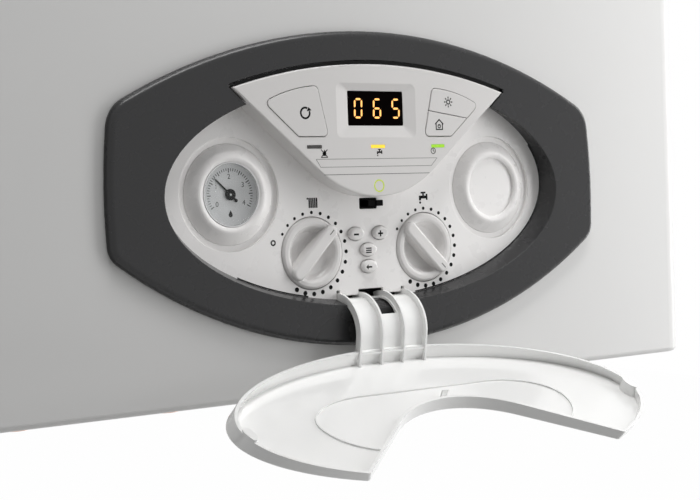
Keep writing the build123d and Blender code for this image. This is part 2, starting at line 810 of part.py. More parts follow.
def arms():
    half = arm_half
    web_outer = arm_inner + arm_web
    web = arc_band(arm_inner, web_outer, -arm_tail, arm_bend, (-half, half))
    web -= arc_band(arm_inner - 1, arm_outer, -arm_tail + 22, -arm_tail + 79, (-7, 7))
    web += foot(arm_inner, web_outer, 0, None, (-half, half))
    body = web + foot(arm_inner, arm_outer - 0.4, foot_tie, foot_tie + 1.4, (-half, half))
    pivot_y, pivot_z = pivot()
    for middle in rib_middles():
        across = (middle - arm_rib / 2, middle + arm_rib / 2)
        body += arc_band(arm_inner, arm_outer, -arm_tail, arm_bend, across)
        body += foot(arm_inner, arm_outer, 0, None, across)
        body += arc_band(2.6, arm_inner + 0.5, -arm_tail, -arm_tail + 8, across)
        hub = (max(middle - 2.5, -half), min(middle + 2.5, half))
        body += rod_x(pivot_y, pivot_z, 5.0, hub)
    return body - rod_x(pivot_y, pivot_z, hinge_pin_radius + hinge_fit, (-half - 1, half + 1))


def hinge_pin():
    pivot_y, pivot_z = pivot()
    reach = arm_half + lug_gap + 4
    return rod_x(pivot_y, pivot_z, hinge_pin_radius, (-reach, reach))


# --- control box ------------------------------------------------------------
def key_places():
    """Middles of the keys in the display cover."""
    places = [key_outline(-1)] + [divided(1, upper) for upper in (True, False)]
    middles = [face.center(CenterOf.BOUNDING_BOX) for face in places]
    return [(middle.X, middle.Y) for middle in middles]


def control_board():
    outline = Pos(0, 8) * Rectangle(2 * board_half, 136)
    board = slab(outline, -board_behind - board_sheet, -board_behind)
    for x, v in list(button_places.values()) + key_places():
        board += drum(x, v, 2.2, -board_behind, -board_behind + switch_button_height)
    chip = slab(Pos(-30, 5) * Rectangle(14, 14), -board_behind, -board_behind + 2)
    relays = [slab(Pos(x, 55) * Rectangle(14, 16), -board_behind - board_sheet - 12,
                   -board_behind - board_sheet) for x in (-60, 40)]
    capacitor = drum(70, 10, 8, -board_behind - board_sheet - 18, -board_behind - board_sheet)
    return board + chip + relays + capacitor


def control_box():
    back = box_depth
    outer = slab(Pos(0, (box_top - box_bottom) / 2)
                 * RectangleRounded(2 * box_half, box_top + box_bottom, 8), -back, -3.0)
    inner = slab(Pos(0, (box_top - box_bottom) / 2)
                 * RectangleRounded(2 * (box_half - moulding), box_top + box_bottom - 2 * moulding,
                                    6), -back + moulding, -2.0)
    body = outer - inner
    for side in (-1, 1):
        for v in (-45, 45):
            body += drum(side * 125, v, 4, -back, -moulding - 0.02)
        for v in (-54, 70):
            body += drum(side * (board_half - 5), v, 3.5, -back, -board_behind - board_sheet)
        ear_inner = side * (box_half - 1)
        ear_outer = side * (half_width - sheet - 0.3)
        body += block((ear_inner, ear_outer), (fascia_y + back - moulding, fascia_y + back),
                      (panel_z - 30, panel_z + 30))
    gland = slab(Pos(-120, -90) * Circle(11), -back - 6, -back)
    gland -= slab(Pos(-120, -90) * Circle(5), -back - 7, -back + moulding + 1)
    return body + gland - slab(Pos(-120, -90) * Circle(5), -back - 7, -back + moulding + 1)


# --- tanks and vessel -------------------------------------------------------
def tank_behind():
    return -shell_y + 5 + tank_radius


def tank_low():
    return bottom_z + tank_rise


def tank_necks(side):
    """X of the tank's inner and outer necks."""
    return side * (tank_x - 30), side * (tank_x + 30)


def domed(x, y, radius, zs, dome):
    """Upright cylinder with rounded ends."""
    return fillet(rod_z(x, y, radius, zs).edges().filter_by(GeomType.CIRCLE), dome)


def tank(side):
    x, y = side * tank_x, -tank_behind()
    low = tank_low()
    radius = tank_radius
    body = domed(x, y, radius, (low, low + tank_length), 38)
    hollow = domed(x, y, radius - tank_wall, (low + tank_wall, low + tank_length - tank_wall),
                   38 - tank_wall)
    for neck_x in tank_necks(side):
        body += rod_z(neck_x, y, 11, (low - 12, low + 2))
    rod = rod_z(x, y, 10, (low + tank_length - 2, low + tank_length + 14))
    return body + rod - hollow


def expansion_vessel():
    y = shell_y - 5 - vessel_radius
    low = bottom_z + 330
    body = domed(0, y, vessel_radius, (low, low + vessel_length), 45)
    hollow = domed(0, y, vessel_radius - vessel_wall,
                   (low + vessel_wall, low + vessel_length - vessel_wall), 45 - vessel_wall)
    seam = rod_z(0, y, vessel_radius + 2.5, (low + vessel_length / 2 - 2, low + vessel_length / 2 + 2))
    stub = rod_z(0, y, 8, (low - 14, low + 3))
    valve = rod_z(0, y, 5, (low + vessel_length - 3, low + vessel_length + 16))
    straps = [block((-20, 20), (shell_y - 6, shell_y), (z - 12, z + 12))
              for z in (low + 120, low + 380)]
    return body + seam + stub + valve + straps - hollow


# --- sealed chamber ---------------------------------------------------------
def chamber_front():
    return fascia_y + box_depth + 22


def chamber_spans():
    front = chamber_front()
    low = top_z - 15 - chamber_height
    return (-chamber_half, chamber_half), (front, front + chamber_depth), (low, top_z - 15)


def flue_y():
    front = chamber_front()
    return front + chamber_depth / 2


def combustion_chamber():
    xs, ys, zs = chamber_spans()
    wall = chamber_sheet
    inside = [(span[0] + wall, span[1] - wall) for span in (xs, ys, zs)]
    body = block(xs, ys, zs) - block(*inside)
    flange = block((xs[0] - 8, xs[1] + 8), (ys[0], ys[0] + wall), (zs[0] - 8, zs[1] + 8))
    body += flange - block(xs, (ys[0] - 1, ys[1]), zs)
    body -= rod_z(0, flue_y(), flue_inner + 3, (zs[1] - 3, zs[1] + 1))
    body -= rod_z(0, flue_y(), pipe_radius + 1, (zs[0] - 1, zs[0] + 3))
    for x in (-150, 150):
        body -= rod_z(x, flue_y(), pipe_radius + 1, (zs[0] - 1, zs[0] + 3))
    for x in (-130, 130):
        body += block((x - 20, x + 20), (ys[1], shell_y), (zs[1] - 4, zs[1] - 2.5))
    return body


def burner():
    z = chamber_spans()[2][0] + 40
    y = flue_y()
    parts = block((-125, 125), (y - 62, y + 62), (z - 2, z))
    for index in range(11):
        x = -110 + index * 22
        bar = block((x - 7, x + 7), (y - 58, y + 58), (z, z + 34))
        bar -= block((x - 2, x + 2), (y - 50, y + 50), (z + 30, z + 35))
        parts += bar
    for x in (-123, 121):
        parts += block((x, x + 2), (y - 62, y + 62), (chamber_spans()[2][0] + chamber_sheet, z))
    return parts


def gas_manifold():
    low = chamber_spans()[2][0]
    y = flue_y() - 70
    bar = block((-120, 120), (y - 8, y + 8), (low + 50, low + 66))
    for index in range(11):
        bar += rod_y(-110 + index * 22, low + 58, 2.5, (y + 8, y + 9.5))
    feed = block((-8, 8), (y - 8, flue_y() + 9), (low + 12, low + 28))
    down = rod_z(0, flue_y(), pipe_radius, (low - 10, low + 20))
    up = block((-8, 8), (y - 8, y + 8), (low + 20, low + 55))
    return bar + feed + down + up


def exchanger_low():
    return chamber_spans()[2][0] + 215


def heat_exchanger():
    y = flue_y()
    z = exchanger_low()
    low_skirt = chamber_spans()[2][0] + 86
    body = block((-128, 128), (y - 64, y + 64), (low_skirt, z))
    body -= block((-124, 124), (y - 60, y + 60), (low_skirt - 1, z + 1))
    for index in range(30):
        x = -123 + index * 8.4
        body += block((x, x + 1.6), (y - 63, y + 63), (z, z + 62))
    for index in range(4):
        body += rod_x(y - 45 + index * 30, z + 30, 8, (-140, 140))
    for x in (-140, 132):
        body += block((x, x + 8), (y - 56, y + 56), (z + 18, z + 42))
    for side in (-1, 1):
        body += rod_z(side * 150, y, pipe_radius, (chamber_spans()[2][0] - 10, z + 30))
        body += rod_x(y, z + 30, pipe_radius, (side * 138, side * 159))
    return body


def flue_hood():
    y = flue_y()
    z = exchanger_low() + 62.3
    top = z + 60
    foot = Plane.XY.offset(z) * Pos(0, y) * Rectangle(256, 128)
    head = Plane.XY.offset(top) * Pos(0, y) * Rectangle(150, 118)
    inside_foot = Plane.XY.offset(z - 0.01) * Pos(0, y) * Rectangle(252, 124)
    inside_head = Plane.XY.offset(top + 0.01) * Pos(0, y) * Rectangle(146, 114)
    body = loft([foot, head]) - loft([inside_foot, inside_head])
    body += block((-75, 75), (y - 59, y + 59), (top, top + 1.7))
    x, _, z_fan = fan_centre()
    back = y + fan_width / 2
    duct = block((x - 30, x + 30), (back + 0.3, back + 28), (top, z_fan + 32))
    duct -= block((x - 28, x + 28), (back - 1, back + 26), (top - 1, z_fan + 30))
    hole = block((x - 28, x + 28), (back + 2, back + 26), (top - 1, top + 3))
    return body + duct - hole


def fan_centre():
    """X, Y and Z of the fan's axis, which runs front to back."""
    return -34.0, flue_y(), exchanger_low() + 62.3 + 62 + fan_radius


def fan_housing():
    x, y, z = fan_centre()
    half = fan_width / 2
    high = z + fan_radius + 12
    outlet = block((-26, x + fan_radius), (y - half, y + half), (z, high))
    body = rod_y(x, z, fan_radius, (y - half, y + half)) + outlet
    body -= rod_y(x, z, fan_radius - 2, (y - half + 2, y + half - 2))
    body -= block((-24, x + fan_radius - 2), (y - half + 2, y + half - 2), (z, high - 2))
    body -= rod_y(x, z, 24, (y + half - 3, y + half + 1))
    body -= rod_y(x, z, 5, (y - half - 1, y - half + 3))
    body += rod_z(0, y, flue_inner - 0.5, (high - 2, high + 26))
    return body - rod_z(0, y, flue_inner - 2.5 - 4, (high - 3, high + 27))


def fan_motor():
    x, y, z = fan_centre()
    front = y - fan_width / 2
    can = fillet(rod_y(x, z, 34, (front - 42, front)).edges().filter_by(GeomType.CIRCLE), 4)
    shaft = rod_y(x, z, fan_shaft, (front - 2, y + 8))
    return can + shaft


def fan_impeller():
    x, y, z = fan_centre()
    back = y - fan_width / 2 + 2 + impeller_gap
    front = y + fan_width / 2 - 2 - impeller_gap
    body = rod_y(x, z, fan_radius - 14, (back, back + 2))
    body += rod_y(x, z, 8, (back, back + 16))
    body += rod_y(x, z, fan_radius - 14, (front - 2, front)) - rod_y(x, z, fan_radius - 26,
                                                                   (front - 3, front + 1))
    for index in range(24):
        turn = Pos(x, 0, z) * Rot(0, index * 15, 0) * Pos(fan_radius - 21, (back + front) / 2, 0)
        body += turn * Rot(0, 25, 0) * Box(12, front - back, 1.2)
    return body - rod_y(x, z, fan_shaft + shaft_fit, (back - 1, y + 30))


def flue_collar():
    y = flue_y()
    high = top_z + flue_rise
    fan_high = fan_centre()[2] + fan_radius + 12
    outer = rod_z(0, y, flue_outer, (top_z, high)) - rod_z(0, y, flue_outer - flue_wall,
                                                          (top_z - 1, high + 1))
    flange = rod_z(0, y, flue_outer + 15, (top_z, top_z + 2)) - rod_z(0, y, flue_outer - flue_wall,
                                                                     (top_z - 1, top_z + 3))
    inner = rod_z(0, y, flue_inner + flue_wall, (fan_high + 6, high - 4))
    inner -= rod_z(0, y, flue_inner, (fan_high + 5, high))
    ribs = block((-flue_outer + 1, flue_outer - 1), (y - 1, y + 1), (top_z + 2, top_z + 12))
    ribs -= rod_z(0, y, flue_inner + 0.5, (top_z, top_z + 14))
    for turn in range(4):
        angle = radians(45 + 90 * turn)
        flange -= rod_z((flue_outer + 8) * cos(angle), y + (flue_outer + 8) * sin(angle), 2.2,
                        (top_z - 1, top_z + 3))
    return outer + flange + inner + ribs


def pressure_switch():
    (left, right), (front, back), (low, high) = chamber_spans()
    x, y, z = 135.0, flue_y() - 40, high - 60
    body = rod_y(x, z, 30, (y - 10, y + 10)) + rod_y(x, z, 22, (y + 10, y + 18))
    body += rod_y(x, z + 14, 3, (y - 26, y - 10)) + rod_y(x, z - 14, 3, (y - 26, y - 10))
    return body + block((x - 8, x + 8), (y - 4, y + 4), (z + 28, high - chamber_sheet))


def electrodes():
    low = chamber_spans()[2][0]
    y = flue_y() - 60
    parts = []
    for x in (-60, 60):
        ceramic = rod_y(x, low + 80, 4, (y - 18.5, y - 1))
        wire = rod_y(x, low + 80, 1.2, (y - 1, y + 30))
        foot = block((x - 12, x + 12), (y - 18, y - 16), (low + 66.0, low + 86))
        parts.append(ceramic + wire + foot)
    return group(parts)


# --- water and gas ----------------------------------------------------------
def tails():
    """X and radius of each connection, from left to right."""
    return [(-2 * tail_pitch, tail_wide), (-tail_pitch, tail_narrow), (0.0, tail_wide),
            (tail_pitch, tail_narrow), (2 * tail_pitch, tail_wide)]


def tail_names():
    return ["heating_flow", "hot_water", "gas", "cold_water", "heating_return"]


def tail(x, radius):
    """Open end of a pipe below the casing, with a nut above it."""
    low = bottom_z - tail_drop
    body = rod_z(x, -tail_behind, radius, (low, bottom_z + 30))
    nut = Pos(x, -tail_behind, bottom_z + 22) * extrude(RegularPolygon(radius + 5, 6), 12,
                                                       both=True)
    return body + nut - rod_z(x, -tail_behind, radius - tail_wall, (low - 1, bottom_z + 20))


def gas_valve():
    x, y, z = 0.0, flue_y() + 60, bottom_z + 190
    body = block((x - 32, x + 32), (y - 30, y + 30), (z - 45, z + 45))
    body = fillet(body.edges().filter_by(Axis.Z), 6)
    coils = [rod_y(x + place, z + 8, 13, (y - 62, y - 30)) for place in (-15, 15)]
    modulator = rod_y(x, z - 25, 10, (y - 50, y - 30))
    ports = rod_z(x, y, 14, (z - 60, z - 45)) + rod_z(x, y, 14, (z + 45, z + 58))
    return body + coils + modulator + ports


def gas_pipe():
    valve_y, z = flue_y() + 60, bottom_z + 190
    low = chamber_spans()[2][0]
    body = tail(0.0, tail_wide)
    body += pipe([(0, -tail_behind, bottom_z + 28), (0, -tail_behind, bottom_z + 80),
                  (0, valve_y, bottom_z + 80), (0, valve_y, z - 60)], pipe_radius, 18)
    body += pipe([(0, valve_y, z + 58), (0, valve_y, low - 30), (0, flue_y(), low - 30),
                  (0, flue_y(), low - 10)], pipe_radius, 10.5)
    return body


def pump_place():
    return 2 * tail_pitch, -tail_behind - 30.0, bottom_z + 135.0


def pump_body():
    x, y, z = pump_place()
    half = 20.0
    volute = rod_y(x, z, 44, (y - half, y + half)) - rod_y(x, z, 38, (y - half + 5, y + half - 5))
    motor = fillet(rod_y(x, z, 40, (y - half - 70, y - half)).edges()
                   .filter_by(GeomType.CIRCLE).sort_by(Axis.Y)[:1], 5)
    terminal = block((x - 24, x + 24), (y - half - 60, y - half - 20), (z + 36, z + 52))
    ports = rod_z(x, y, 15, (z + 42, z + 62)) + rod_z(x, y, 15, (z - 62, z - 42))
    vent = rod_z(x + 30, y + 6, 11, (z + 30, z + 74)) + rod_z(x + 30, y + 6, 5, (z + 74, z + 80))
    shaft = rod_y(x, z, pump_shaft, (y - half + 4, y + 6))
    body = volute + motor + terminal + ports + vent
    return body - rod_y(x, z, 38, (y - half + 5, y + half - 5)) + shaft


def pump_impeller():
    x, y, z = pump_place()
    back = y - 20 + 5 + impeller_gap
    body = rod_y(x, z, 34, (back, back + 2)) + rod_y(x, z, 8, (back, back + 18))
    for index in range(7):
        turn = Pos(x, 0, z) * Rot(0, index * 360 / 7, 0) * Pos(21, back + 9, 0)
        body += turn * Rot(0, 35, 0) * Box(24, 16, 2)
    return body - rod_y(x, z, pump_shaft + shaft_fit, (back - 1, back + 22))


def plate_place():
    return -50.0, -tank_behind() + 14.0, bottom_z + 80.0


def plate_exchanger():
    x, y, z = plate_place()
    pitch = 4.6
    front = y - 30
    core = block((x - 36, x + 36), (front, front + 4 + plate_count * pitch), (z + 2, z + 188))
    ridges = [block((x - 38, x + 38), (front, front + 4), (z, z + 190))]
    for index in range(plate_count):
        middle = front + 4 + (index + 0.5) * pitch
        ridges.append(block((x - 38, x + 38), (middle - 0.9, middle + 0.9), (z, z + 190)))
    necks = [rod_z(x + place, y, 9, (z - 12, z + 10)) for place in (-22, 22)]
    return core + ridges + necks


def diverter_place():
    return -2 * tail_pitch - 10, -tail_behind - 35.0, bottom_z + 120.0


def diverter_valve():
    x, y, z = diverter_place()
    body = rod_z(x, y, 17, (z - 50, z + 50)) + rod_x(y, z + 20, 13, (x, x + 36))
    body += rod_z(x, y, 26, (z + 50, z + 60))
    motor = block((x - 26, x + 26), (y - 30, y + 30), (z + 60, z + 104))
    return body + fillet(motor.edges().filter_by(Axis.Z), 8)


def safety_place():
    return 215.0, pump_place()[1] + 10, bottom_z + 80.0


def safety_valve():
    x, y, z = safety_place()
    body = rod_y(x, z, 15, (y - 20, y + 20)) + rod_z(x, y, 10, (z - 34, z))
    body += rod_y(x, z, 7, (y - 27, y - 19))
    link = rod_x(y - 10, z, 8, (2 * tail_pitch + 15, x))
    return body + link


def safety_knob():
    x, y, z = safety_place()
    cap = rod_y(x, z, 14, (y - 44, y - 22))
    for index in range(6):
        turn = radians(60 * index)
        cap -= rod_y(x + 17 * sin(turn), z + 17 * cos(turn), 5, (y - 45, y - 20))
    return cap - rod_y(x, z, 7 + shaft_fit, (y - 30, y - 21))


def water_pipes():
    low = chamber_spans()[2][0]
    joint = flue_y()
    y = -tail_behind
    start = bottom_z + 33
    parts = [tail(x, radius) for (x, radius), name in zip(tails(), tail_names())
             if name != "gas"]

    def run(points, radius, bend):
        parts.append(pipe(points, radius, bend))

    pump_x, pump_y, pump_z = pump_place()
    run([(pump_x, y, start), (pump_x, y, bottom_z + 55), (pump_x, pump_y, bottom_z + 55),
         (pump_x, pump_y, pump_z - 62)], 8, 11)
    run([(pump_x, pump_y, pump_z + 62), (pump_x, pump_y, pump_z + 80),
         (150, joint, pump_z + 80), (150, joint, low - 10)], 8, 11)
    valve_x, valve_y, valve_z = diverter_place()
    run([(-2 * tail_pitch, y, start), (-2 * tail_pitch, y, bottom_z + 50),
         (valve_x, valve_y, bottom_z + 50), (valve_x, valve_y, valve_z - 50)], 8, 9)
    run([(valve_x + 36, valve_y, valve_z + 20), (valve_x + 56, valve_y, valve_z + 20),
         (valve_x + 56, joint, valve_z + 60), (-150, joint, valve_z + 130),
         (-150, joint, low - 10)], 7.5, 9)
    plate_x, plate_y, plate_z = plate_place()
    run([(-tail_pitch, y, start), (-tail_pitch, y, bottom_z + 50),
         (plate_x - 22, plate_y, bottom_z + 50), (plate_x - 22, plate_y, plate_z - 12)], 7, 9)
    tank_y = -tank_behind()
    left, right = tank_necks(-1), tank_necks(1)
    neck_z = tank_low() - 12
    run([(tail_pitch, y, start), (tail_pitch, y, bottom_z + 70),
         (right[0], tank_y, bottom_z + 190), (right[0], tank_y, neck_z)], 7, 12)
    run([(right[1], tank_y, neck_z), (right[1], tank_y, bottom_z + 192),
         (right[0] - 60, shell_y - 16, bottom_z + 192),
         (left[0] + 60, shell_y - 16, bottom_z + 192),
         (left[0], tank_y, bottom_z + 192), (left[0], tank_y, neck_z)], 7, 9)
    run([(left[1], tank_y, neck_z), (left[1], tank_y, bottom_z + 45),
         (plate_x + 22, plate_y, bottom_z + 45), (plate_x + 22, plate_y, plate_z - 12)], 7, 9)
    vessel_y = shell_y - 5 - vessel_radius
    run([(0, vessel_y, bottom_z + 316), (0, vessel_y, pump_z + 80),
         (pump_x - 8, pump_y + 4, pump_z + 80)], 5, 15)
    return group(parts)


pieces = {
    "wall_bracket": wall_bracket(),
    "rear_frame": rear_frame(),
    "side_panel_left": side_panel(-1),
    "side_panel_right": side_panel(1),
    "top_panel": top_panel(),
    "bottom_tray": bottom_tray(),
    "front_casing": front_casing(),
    "casing_screws": casing_screws(),
    "panel_surround": panel_surround(),
    "panel_fascia": panel_fascia(),
    "display_cover": display_cover(),
    "display_window": display_window(),
    "display_module": display_module(),
    "indicator_lenses": indicator_lenses(),
    "power_lens": power_lens(),
    "reset_key": key(key_outline(-1)),
    "comfort_key": key(divided(1, True)),
    "auto_key": key(divided(1, False)),
    "gauge_bezel": gauge_bezel(),
    "gauge_case": gauge_case(),
    "gauge_dial": gauge_dial(),
    "gauge_needle": gauge_needle(),
    "gauge_lens": gauge_lens(),
    "timer_blank": timer_blank(),
    "heating_knob": knob(-1),
    "hot_water_knob": knob(1),
    "dial_encoders": dial_encoders(),
    "switch_body": switch_body(),
    "switch_slider": switch_slider(),
    "control_board": control_board(),
    "control_box": control_box(),
    "flap": flap(),
    "hinge_pin": hinge_pin(),
    "left_tank": tank(-1),
    "right_tank": tank(1),
    "expansion_vessel": expansion_vessel(),
    "combustion_chamber": combustion_chamber(),
    "burner": burner(),
    "gas_manifold": gas_manifold(),
    "heat_exchanger": heat_exchanger(),
    "flue_hood": flue_hood(),
    "fan_housing": fan_housing(),
    "fan_motor": fan_motor(),
    "fan_impeller": fan_impeller(),
    "flue_collar": flue_collar(),
    "pressure_switch": pressure_switch(),
    "electrodes": electrodes(),
    "gas_valve": gas_valve(),
    "gas_pipe": gas_pipe(),
    "pump_body": pump_body(),
    "pump_impeller": pump_impeller(),
    "plate_exchanger": plate_exchanger(),
    "diverter_valve": diverter_valve(),
    "safety_valve": safety_valve(),
    "safety_knob": safety_knob(),
    "water_pipes": water_pipes(),
}
for name in button_places:
    pieces[name + "_button"] = push_button(name)

os.makedirs("parts", exist_ok=True)
for name, shape in pieces.items():
    export_step(shape, os.path.join("parts", name + ".step"))
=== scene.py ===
from math import cos, pi, radians, sin

import bmesh
import bpy
from mathutils import Matrix, Vector


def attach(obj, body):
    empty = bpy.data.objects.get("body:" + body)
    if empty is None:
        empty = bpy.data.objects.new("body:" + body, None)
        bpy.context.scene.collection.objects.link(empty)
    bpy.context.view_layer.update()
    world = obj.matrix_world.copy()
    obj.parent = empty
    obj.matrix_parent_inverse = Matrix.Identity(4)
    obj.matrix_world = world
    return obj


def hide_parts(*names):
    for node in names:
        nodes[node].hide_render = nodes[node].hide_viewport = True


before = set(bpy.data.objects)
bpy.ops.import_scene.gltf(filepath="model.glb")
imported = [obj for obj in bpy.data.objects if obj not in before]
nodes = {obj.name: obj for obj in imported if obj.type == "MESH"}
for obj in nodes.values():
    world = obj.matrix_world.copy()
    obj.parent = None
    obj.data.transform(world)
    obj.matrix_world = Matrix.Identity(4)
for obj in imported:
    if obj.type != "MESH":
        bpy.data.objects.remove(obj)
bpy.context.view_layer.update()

mm = 0.001
panel = {"fasciaY": -0.4526, "centreZ": -0.7244}   # fascia plane and the oval's centre
print("frame loaded,", len(nodes), "nodes")


# camera, lights and floor
shot = {
    "place": (-0.5945, -1.2712, -0.7354),
    "right": (0.8156, -0.5776, -0.0344),
    "up": (0.0460, 0.0056, 0.9988),
    "lens": 77.14, "sensor": 36.0, "nearest": 0.05, "farthest": 60.0,
}
lights = {
    "fill": 0.205,              # world, for what it lights; rays that show it see white
    "keyPlace": (0.78, -0.95, -0.62), "keySize": (0.35, 1.3), "keyPower": 6.8,
    "topPlace": (0.1, -0.95, 0.9), "topSize": (1.3, 0.4), "topPower": 18.0,
    "sidePlace": (1.6, -0.62, -0.62), "sideSize": (0.08, 1.3), "sidePower": 4.0,
    "aim": (0.0, -0.45, -0.65),
}
floorLook = {"height": -1.96, "size": 14.0, "colour": (0.93, 0.93, 0.92), "shade": 0.985,
             "glow": 0.99}      # glow: share of plain white in rays that show the floor


class Link:
    # a node's output; plain arithmetic on it adds Math nodes
    def __init__(self, finish, socket):
        self.finish, self.socket = finish, socket

    def maths(self, operation, first, second=0.0):
        return self.finish.node("ShaderNodeMath", {"operation": operation}, {0: first, 1: second})

    def __add__(self, other):
        return self.maths("ADD", self, other)

    def __radd__(self, other):
        return self.maths("ADD", other, self)

    def __mul__(self, other):
        return self.maths("MULTIPLY", self, other)

    def __rmul__(self, other):
        return self.maths("MULTIPLY", other, self)

    def __gt__(self, other):
        return self.maths("GREATER_THAN", self, other)

    def __lt__(self, other):
        return self.maths("LESS_THAN", self, other)


class Finish:
    # one material under construction, or the world's nodes where its tree is given
    def __init__(self, name="", tree=None):
        if tree is None:
            self.material = bpy.data.materials.new(name)
            self.material.use_nodes = True
            tree = self.material.node_tree
        self.tree = tree
        tree.nodes.clear()

    def node(self, kind, settings=None, values=None, output=0):
        made = self.tree.nodes.new(kind)
        for key, value in (settings or {}).items():
            setattr(made, key, value)
        for key, value in (values or {}).items():
            socket = made.inputs[key]
            if isinstance(value, Link):
                self.tree.links.new(value.socket, socket)
            elif socket.type == "RGBA" and len(value) == 3:
                socket.default_value = (*value, 1)
            else:
                socket.default_value = value
        return Link(self, made.outputs[output]) if len(made.outputs) else made

    def where(self):
        return self.node("ShaderNodeTexCoord", output="Object")

    def stretched(self, scale):
        return self.node("ShaderNodeMapping", None, {"Vector": self.where(), "Scale": scale})

    def noise(self, size, detail=2.0, place=None, distortion=0.0):
        return self.node("ShaderNodeTexNoise", None,
                         {"Vector": place or self.where(), "Scale": 1 / size, "Detail": detail,
                          "Distortion": distortion})

    def shownRays(self):
        # 1 for the rays that show the background: straight, mirrored or through glass
        straight, mirrored, through = (
            self.node("ShaderNodeLightPath", output=kind)
            for kind in ("Is Camera Ray", "Is Glossy Ray", "Is Transmission Ray"))
        return straight.maths("MAXIMUM", straight.maths("MAXIMUM", straight, mirrored), through)

    def spread(self, value, low, high):
        # a 0 to 1 value turned into one between low and high
        return value * (high - low) + low

    def between(self, first, second, factor):
        return self.node("ShaderNodeMix", {"data_type": "RGBA"},
                         {0: factor, 6: first, 7: second}, output=2)

    def bumped(self, height, depth, edge=0.0):
        # edge: radius by which the shading rounds the piece's edges
        values = {"Height": height, "Distance": depth}
        if edge:
            values["Normal"] = self.node("ShaderNodeBevel", {"samples": 6}, {"Radius": edge})
        return self.node("ShaderNodeBump", None, values)

    def close(self, values):
        shader = self.node("ShaderNodeBsdfPrincipled", None, values)
        self.node("ShaderNodeOutputMaterial", None, {"Surface": shader})
        return self.material


def tinted(colour, factor):
    return tuple(min(1.0, part * factor) for part in colour)


def aimed(thing, place, target):
    thing.location = place
    thing.rotation_euler = (Vector(target) - Vector(place)).to_track_quat("-Z", "Y").to_euler()


def makeCamera():
    data = bpy.data.cameras.new("shotCamera")
    data.lens, data.sensor_width = shot["lens"], shot["sensor"]
    data.clip_start, data.clip_end = shot["nearest"], shot["farthest"]
    camera = bpy.data.objects.new("shotCamera", data)
    bpy.context.scene.collection.objects.link(camera)
    right, up = Vector(shot["right"]).normalized(), Vector(shot["up"])
    up = (up - right * up.dot(right)).normalized()
    turn = Matrix((right, up, right.cross(up))).transposed()
    camera.matrix_world = Matrix.Translation(shot["place"]) @ turn.to_4x4()
    bpy.context.scene.camera = camera


def makeLight(kind, mirrored=True):
    # the key lights without a mirror image of itself in the grey surround
    data = bpy.data.lights.new(kind + "Light", "AREA")
    data.shape, data.energy = "RECTANGLE", lights[kind + "Power"]
    data.size, data.size_y = lights[kind + "Size"]
    lamp = bpy.data.objects.new(kind + "Light", data)
    bpy.context.scene.collection.objects.link(lamp)
    lamp.visible_glossy = mirrored
    aimed(lamp, lights[kind + "Place"], lights["aim"])


def makeWorld():
    world = bpy.data.worlds.new("studio")
    bpy.context.scene.world = world
    world.use_nodes = True
    sky = Finish(tree=world.node_tree)
    soft, white = (sky.node("ShaderNodeBackground", None, {"Color": (1, 1, 1), "Strength": power})
                   for power in (lights["fill"], 1.0))
    shader = sky.node("ShaderNodeMixShader", None, {0: sky.shownRays(), 1: soft, 2: white})
    sky.node("ShaderNodeOutputWorld", None, {"Surface": shader})


def makeFloor():
    look = floorLook
    half = look["size"] / 2
    corners = [(x * half, y * half, look["height"])
               for x, y in ((-1, -1), (1, -1), (1, 1), (-1, 1))]
    mesh = bpy.data.meshes.new("floor")
    mesh.from_pydata(corners, [], [(0, 1, 2, 3)])
    floor = bpy.data.objects.new("floor", mesh)
    bpy.context.scene.collection.objects.link(floor)
    paint = Finish("floorPaint")
    speck = paint.noise(size=0.4, detail=4.0)
    colour = paint.between(tinted(look["colour"], look["shade"]), look["colour"], speck)
    ground = paint.node("ShaderNodeBsdfDiffuse", None, {"Color": colour})
    glow = paint.node("ShaderNodeEmission", None, {"Color": (1, 1, 1)})
    shader = paint.node("ShaderNodeMixShader", None,
                        {0: paint.shownRays() * look["glow"], 1: ground, 2: glow})
    paint.node("ShaderNodeOutputMaterial", None, {"Surface": shader})
    mesh.materials.append(paint.material)


bpy.context.scene.view_settings.view_transform = "Standard"
makeCamera()
makeLight("key", mirrored=False)
makeLight("top")
makeLight("side")
makeWorld()
makeFloor()
print("camera, lights and floor set")


# finishes: sizes in metres
def powderPaint(name, look):
    # sprayed steel, with a fine orange peel
    paint = Finish(name)
    peel = paint.noise(look["peelSize"])
    cloud = paint.noise(size=0.18, detail=3.0)
    colour = paint.between(tinted(look["colour"], 0.975), look["colour"], cloud)
    rough = paint.spread(cloud, look["roughness"] - 0.03, look["roughness"] + 0.03)
    return paint.close({"Base Color": colour, "Roughness": rough, "IOR": 1.5,
                        "Normal": paint.bumped(peel, look["peelDepth"])})


def mouldedPlastic(name, look):
    plastic = Finish(name)
    grain = plastic.noise(look["grainSize"], detail=3.0)
    flow = plastic.noise(size=0.05, distortion=0.6)
    worn = plastic.noise(size=0.012, detail=4.0)
    colour = plastic.between(tinted(look["colour"], 0.965), look["colour"], flow)
    rough = plastic.spread(worn, look["roughness"] - 0.04, look["roughness"] + 0.04)
    return plastic.close({"Base Color": colour, "Roughness": rough, "IOR": 1.5,
                          "Specular IOR Level": look.get("gloss", 0.5),
                          "Coat Weight": look.get("coat", 0.0), "Coat Roughness": 0.08,
                          "Normal": plastic.bumped(grain, look["grainDepth"],
                                                   look.get("edge", 0.0))})


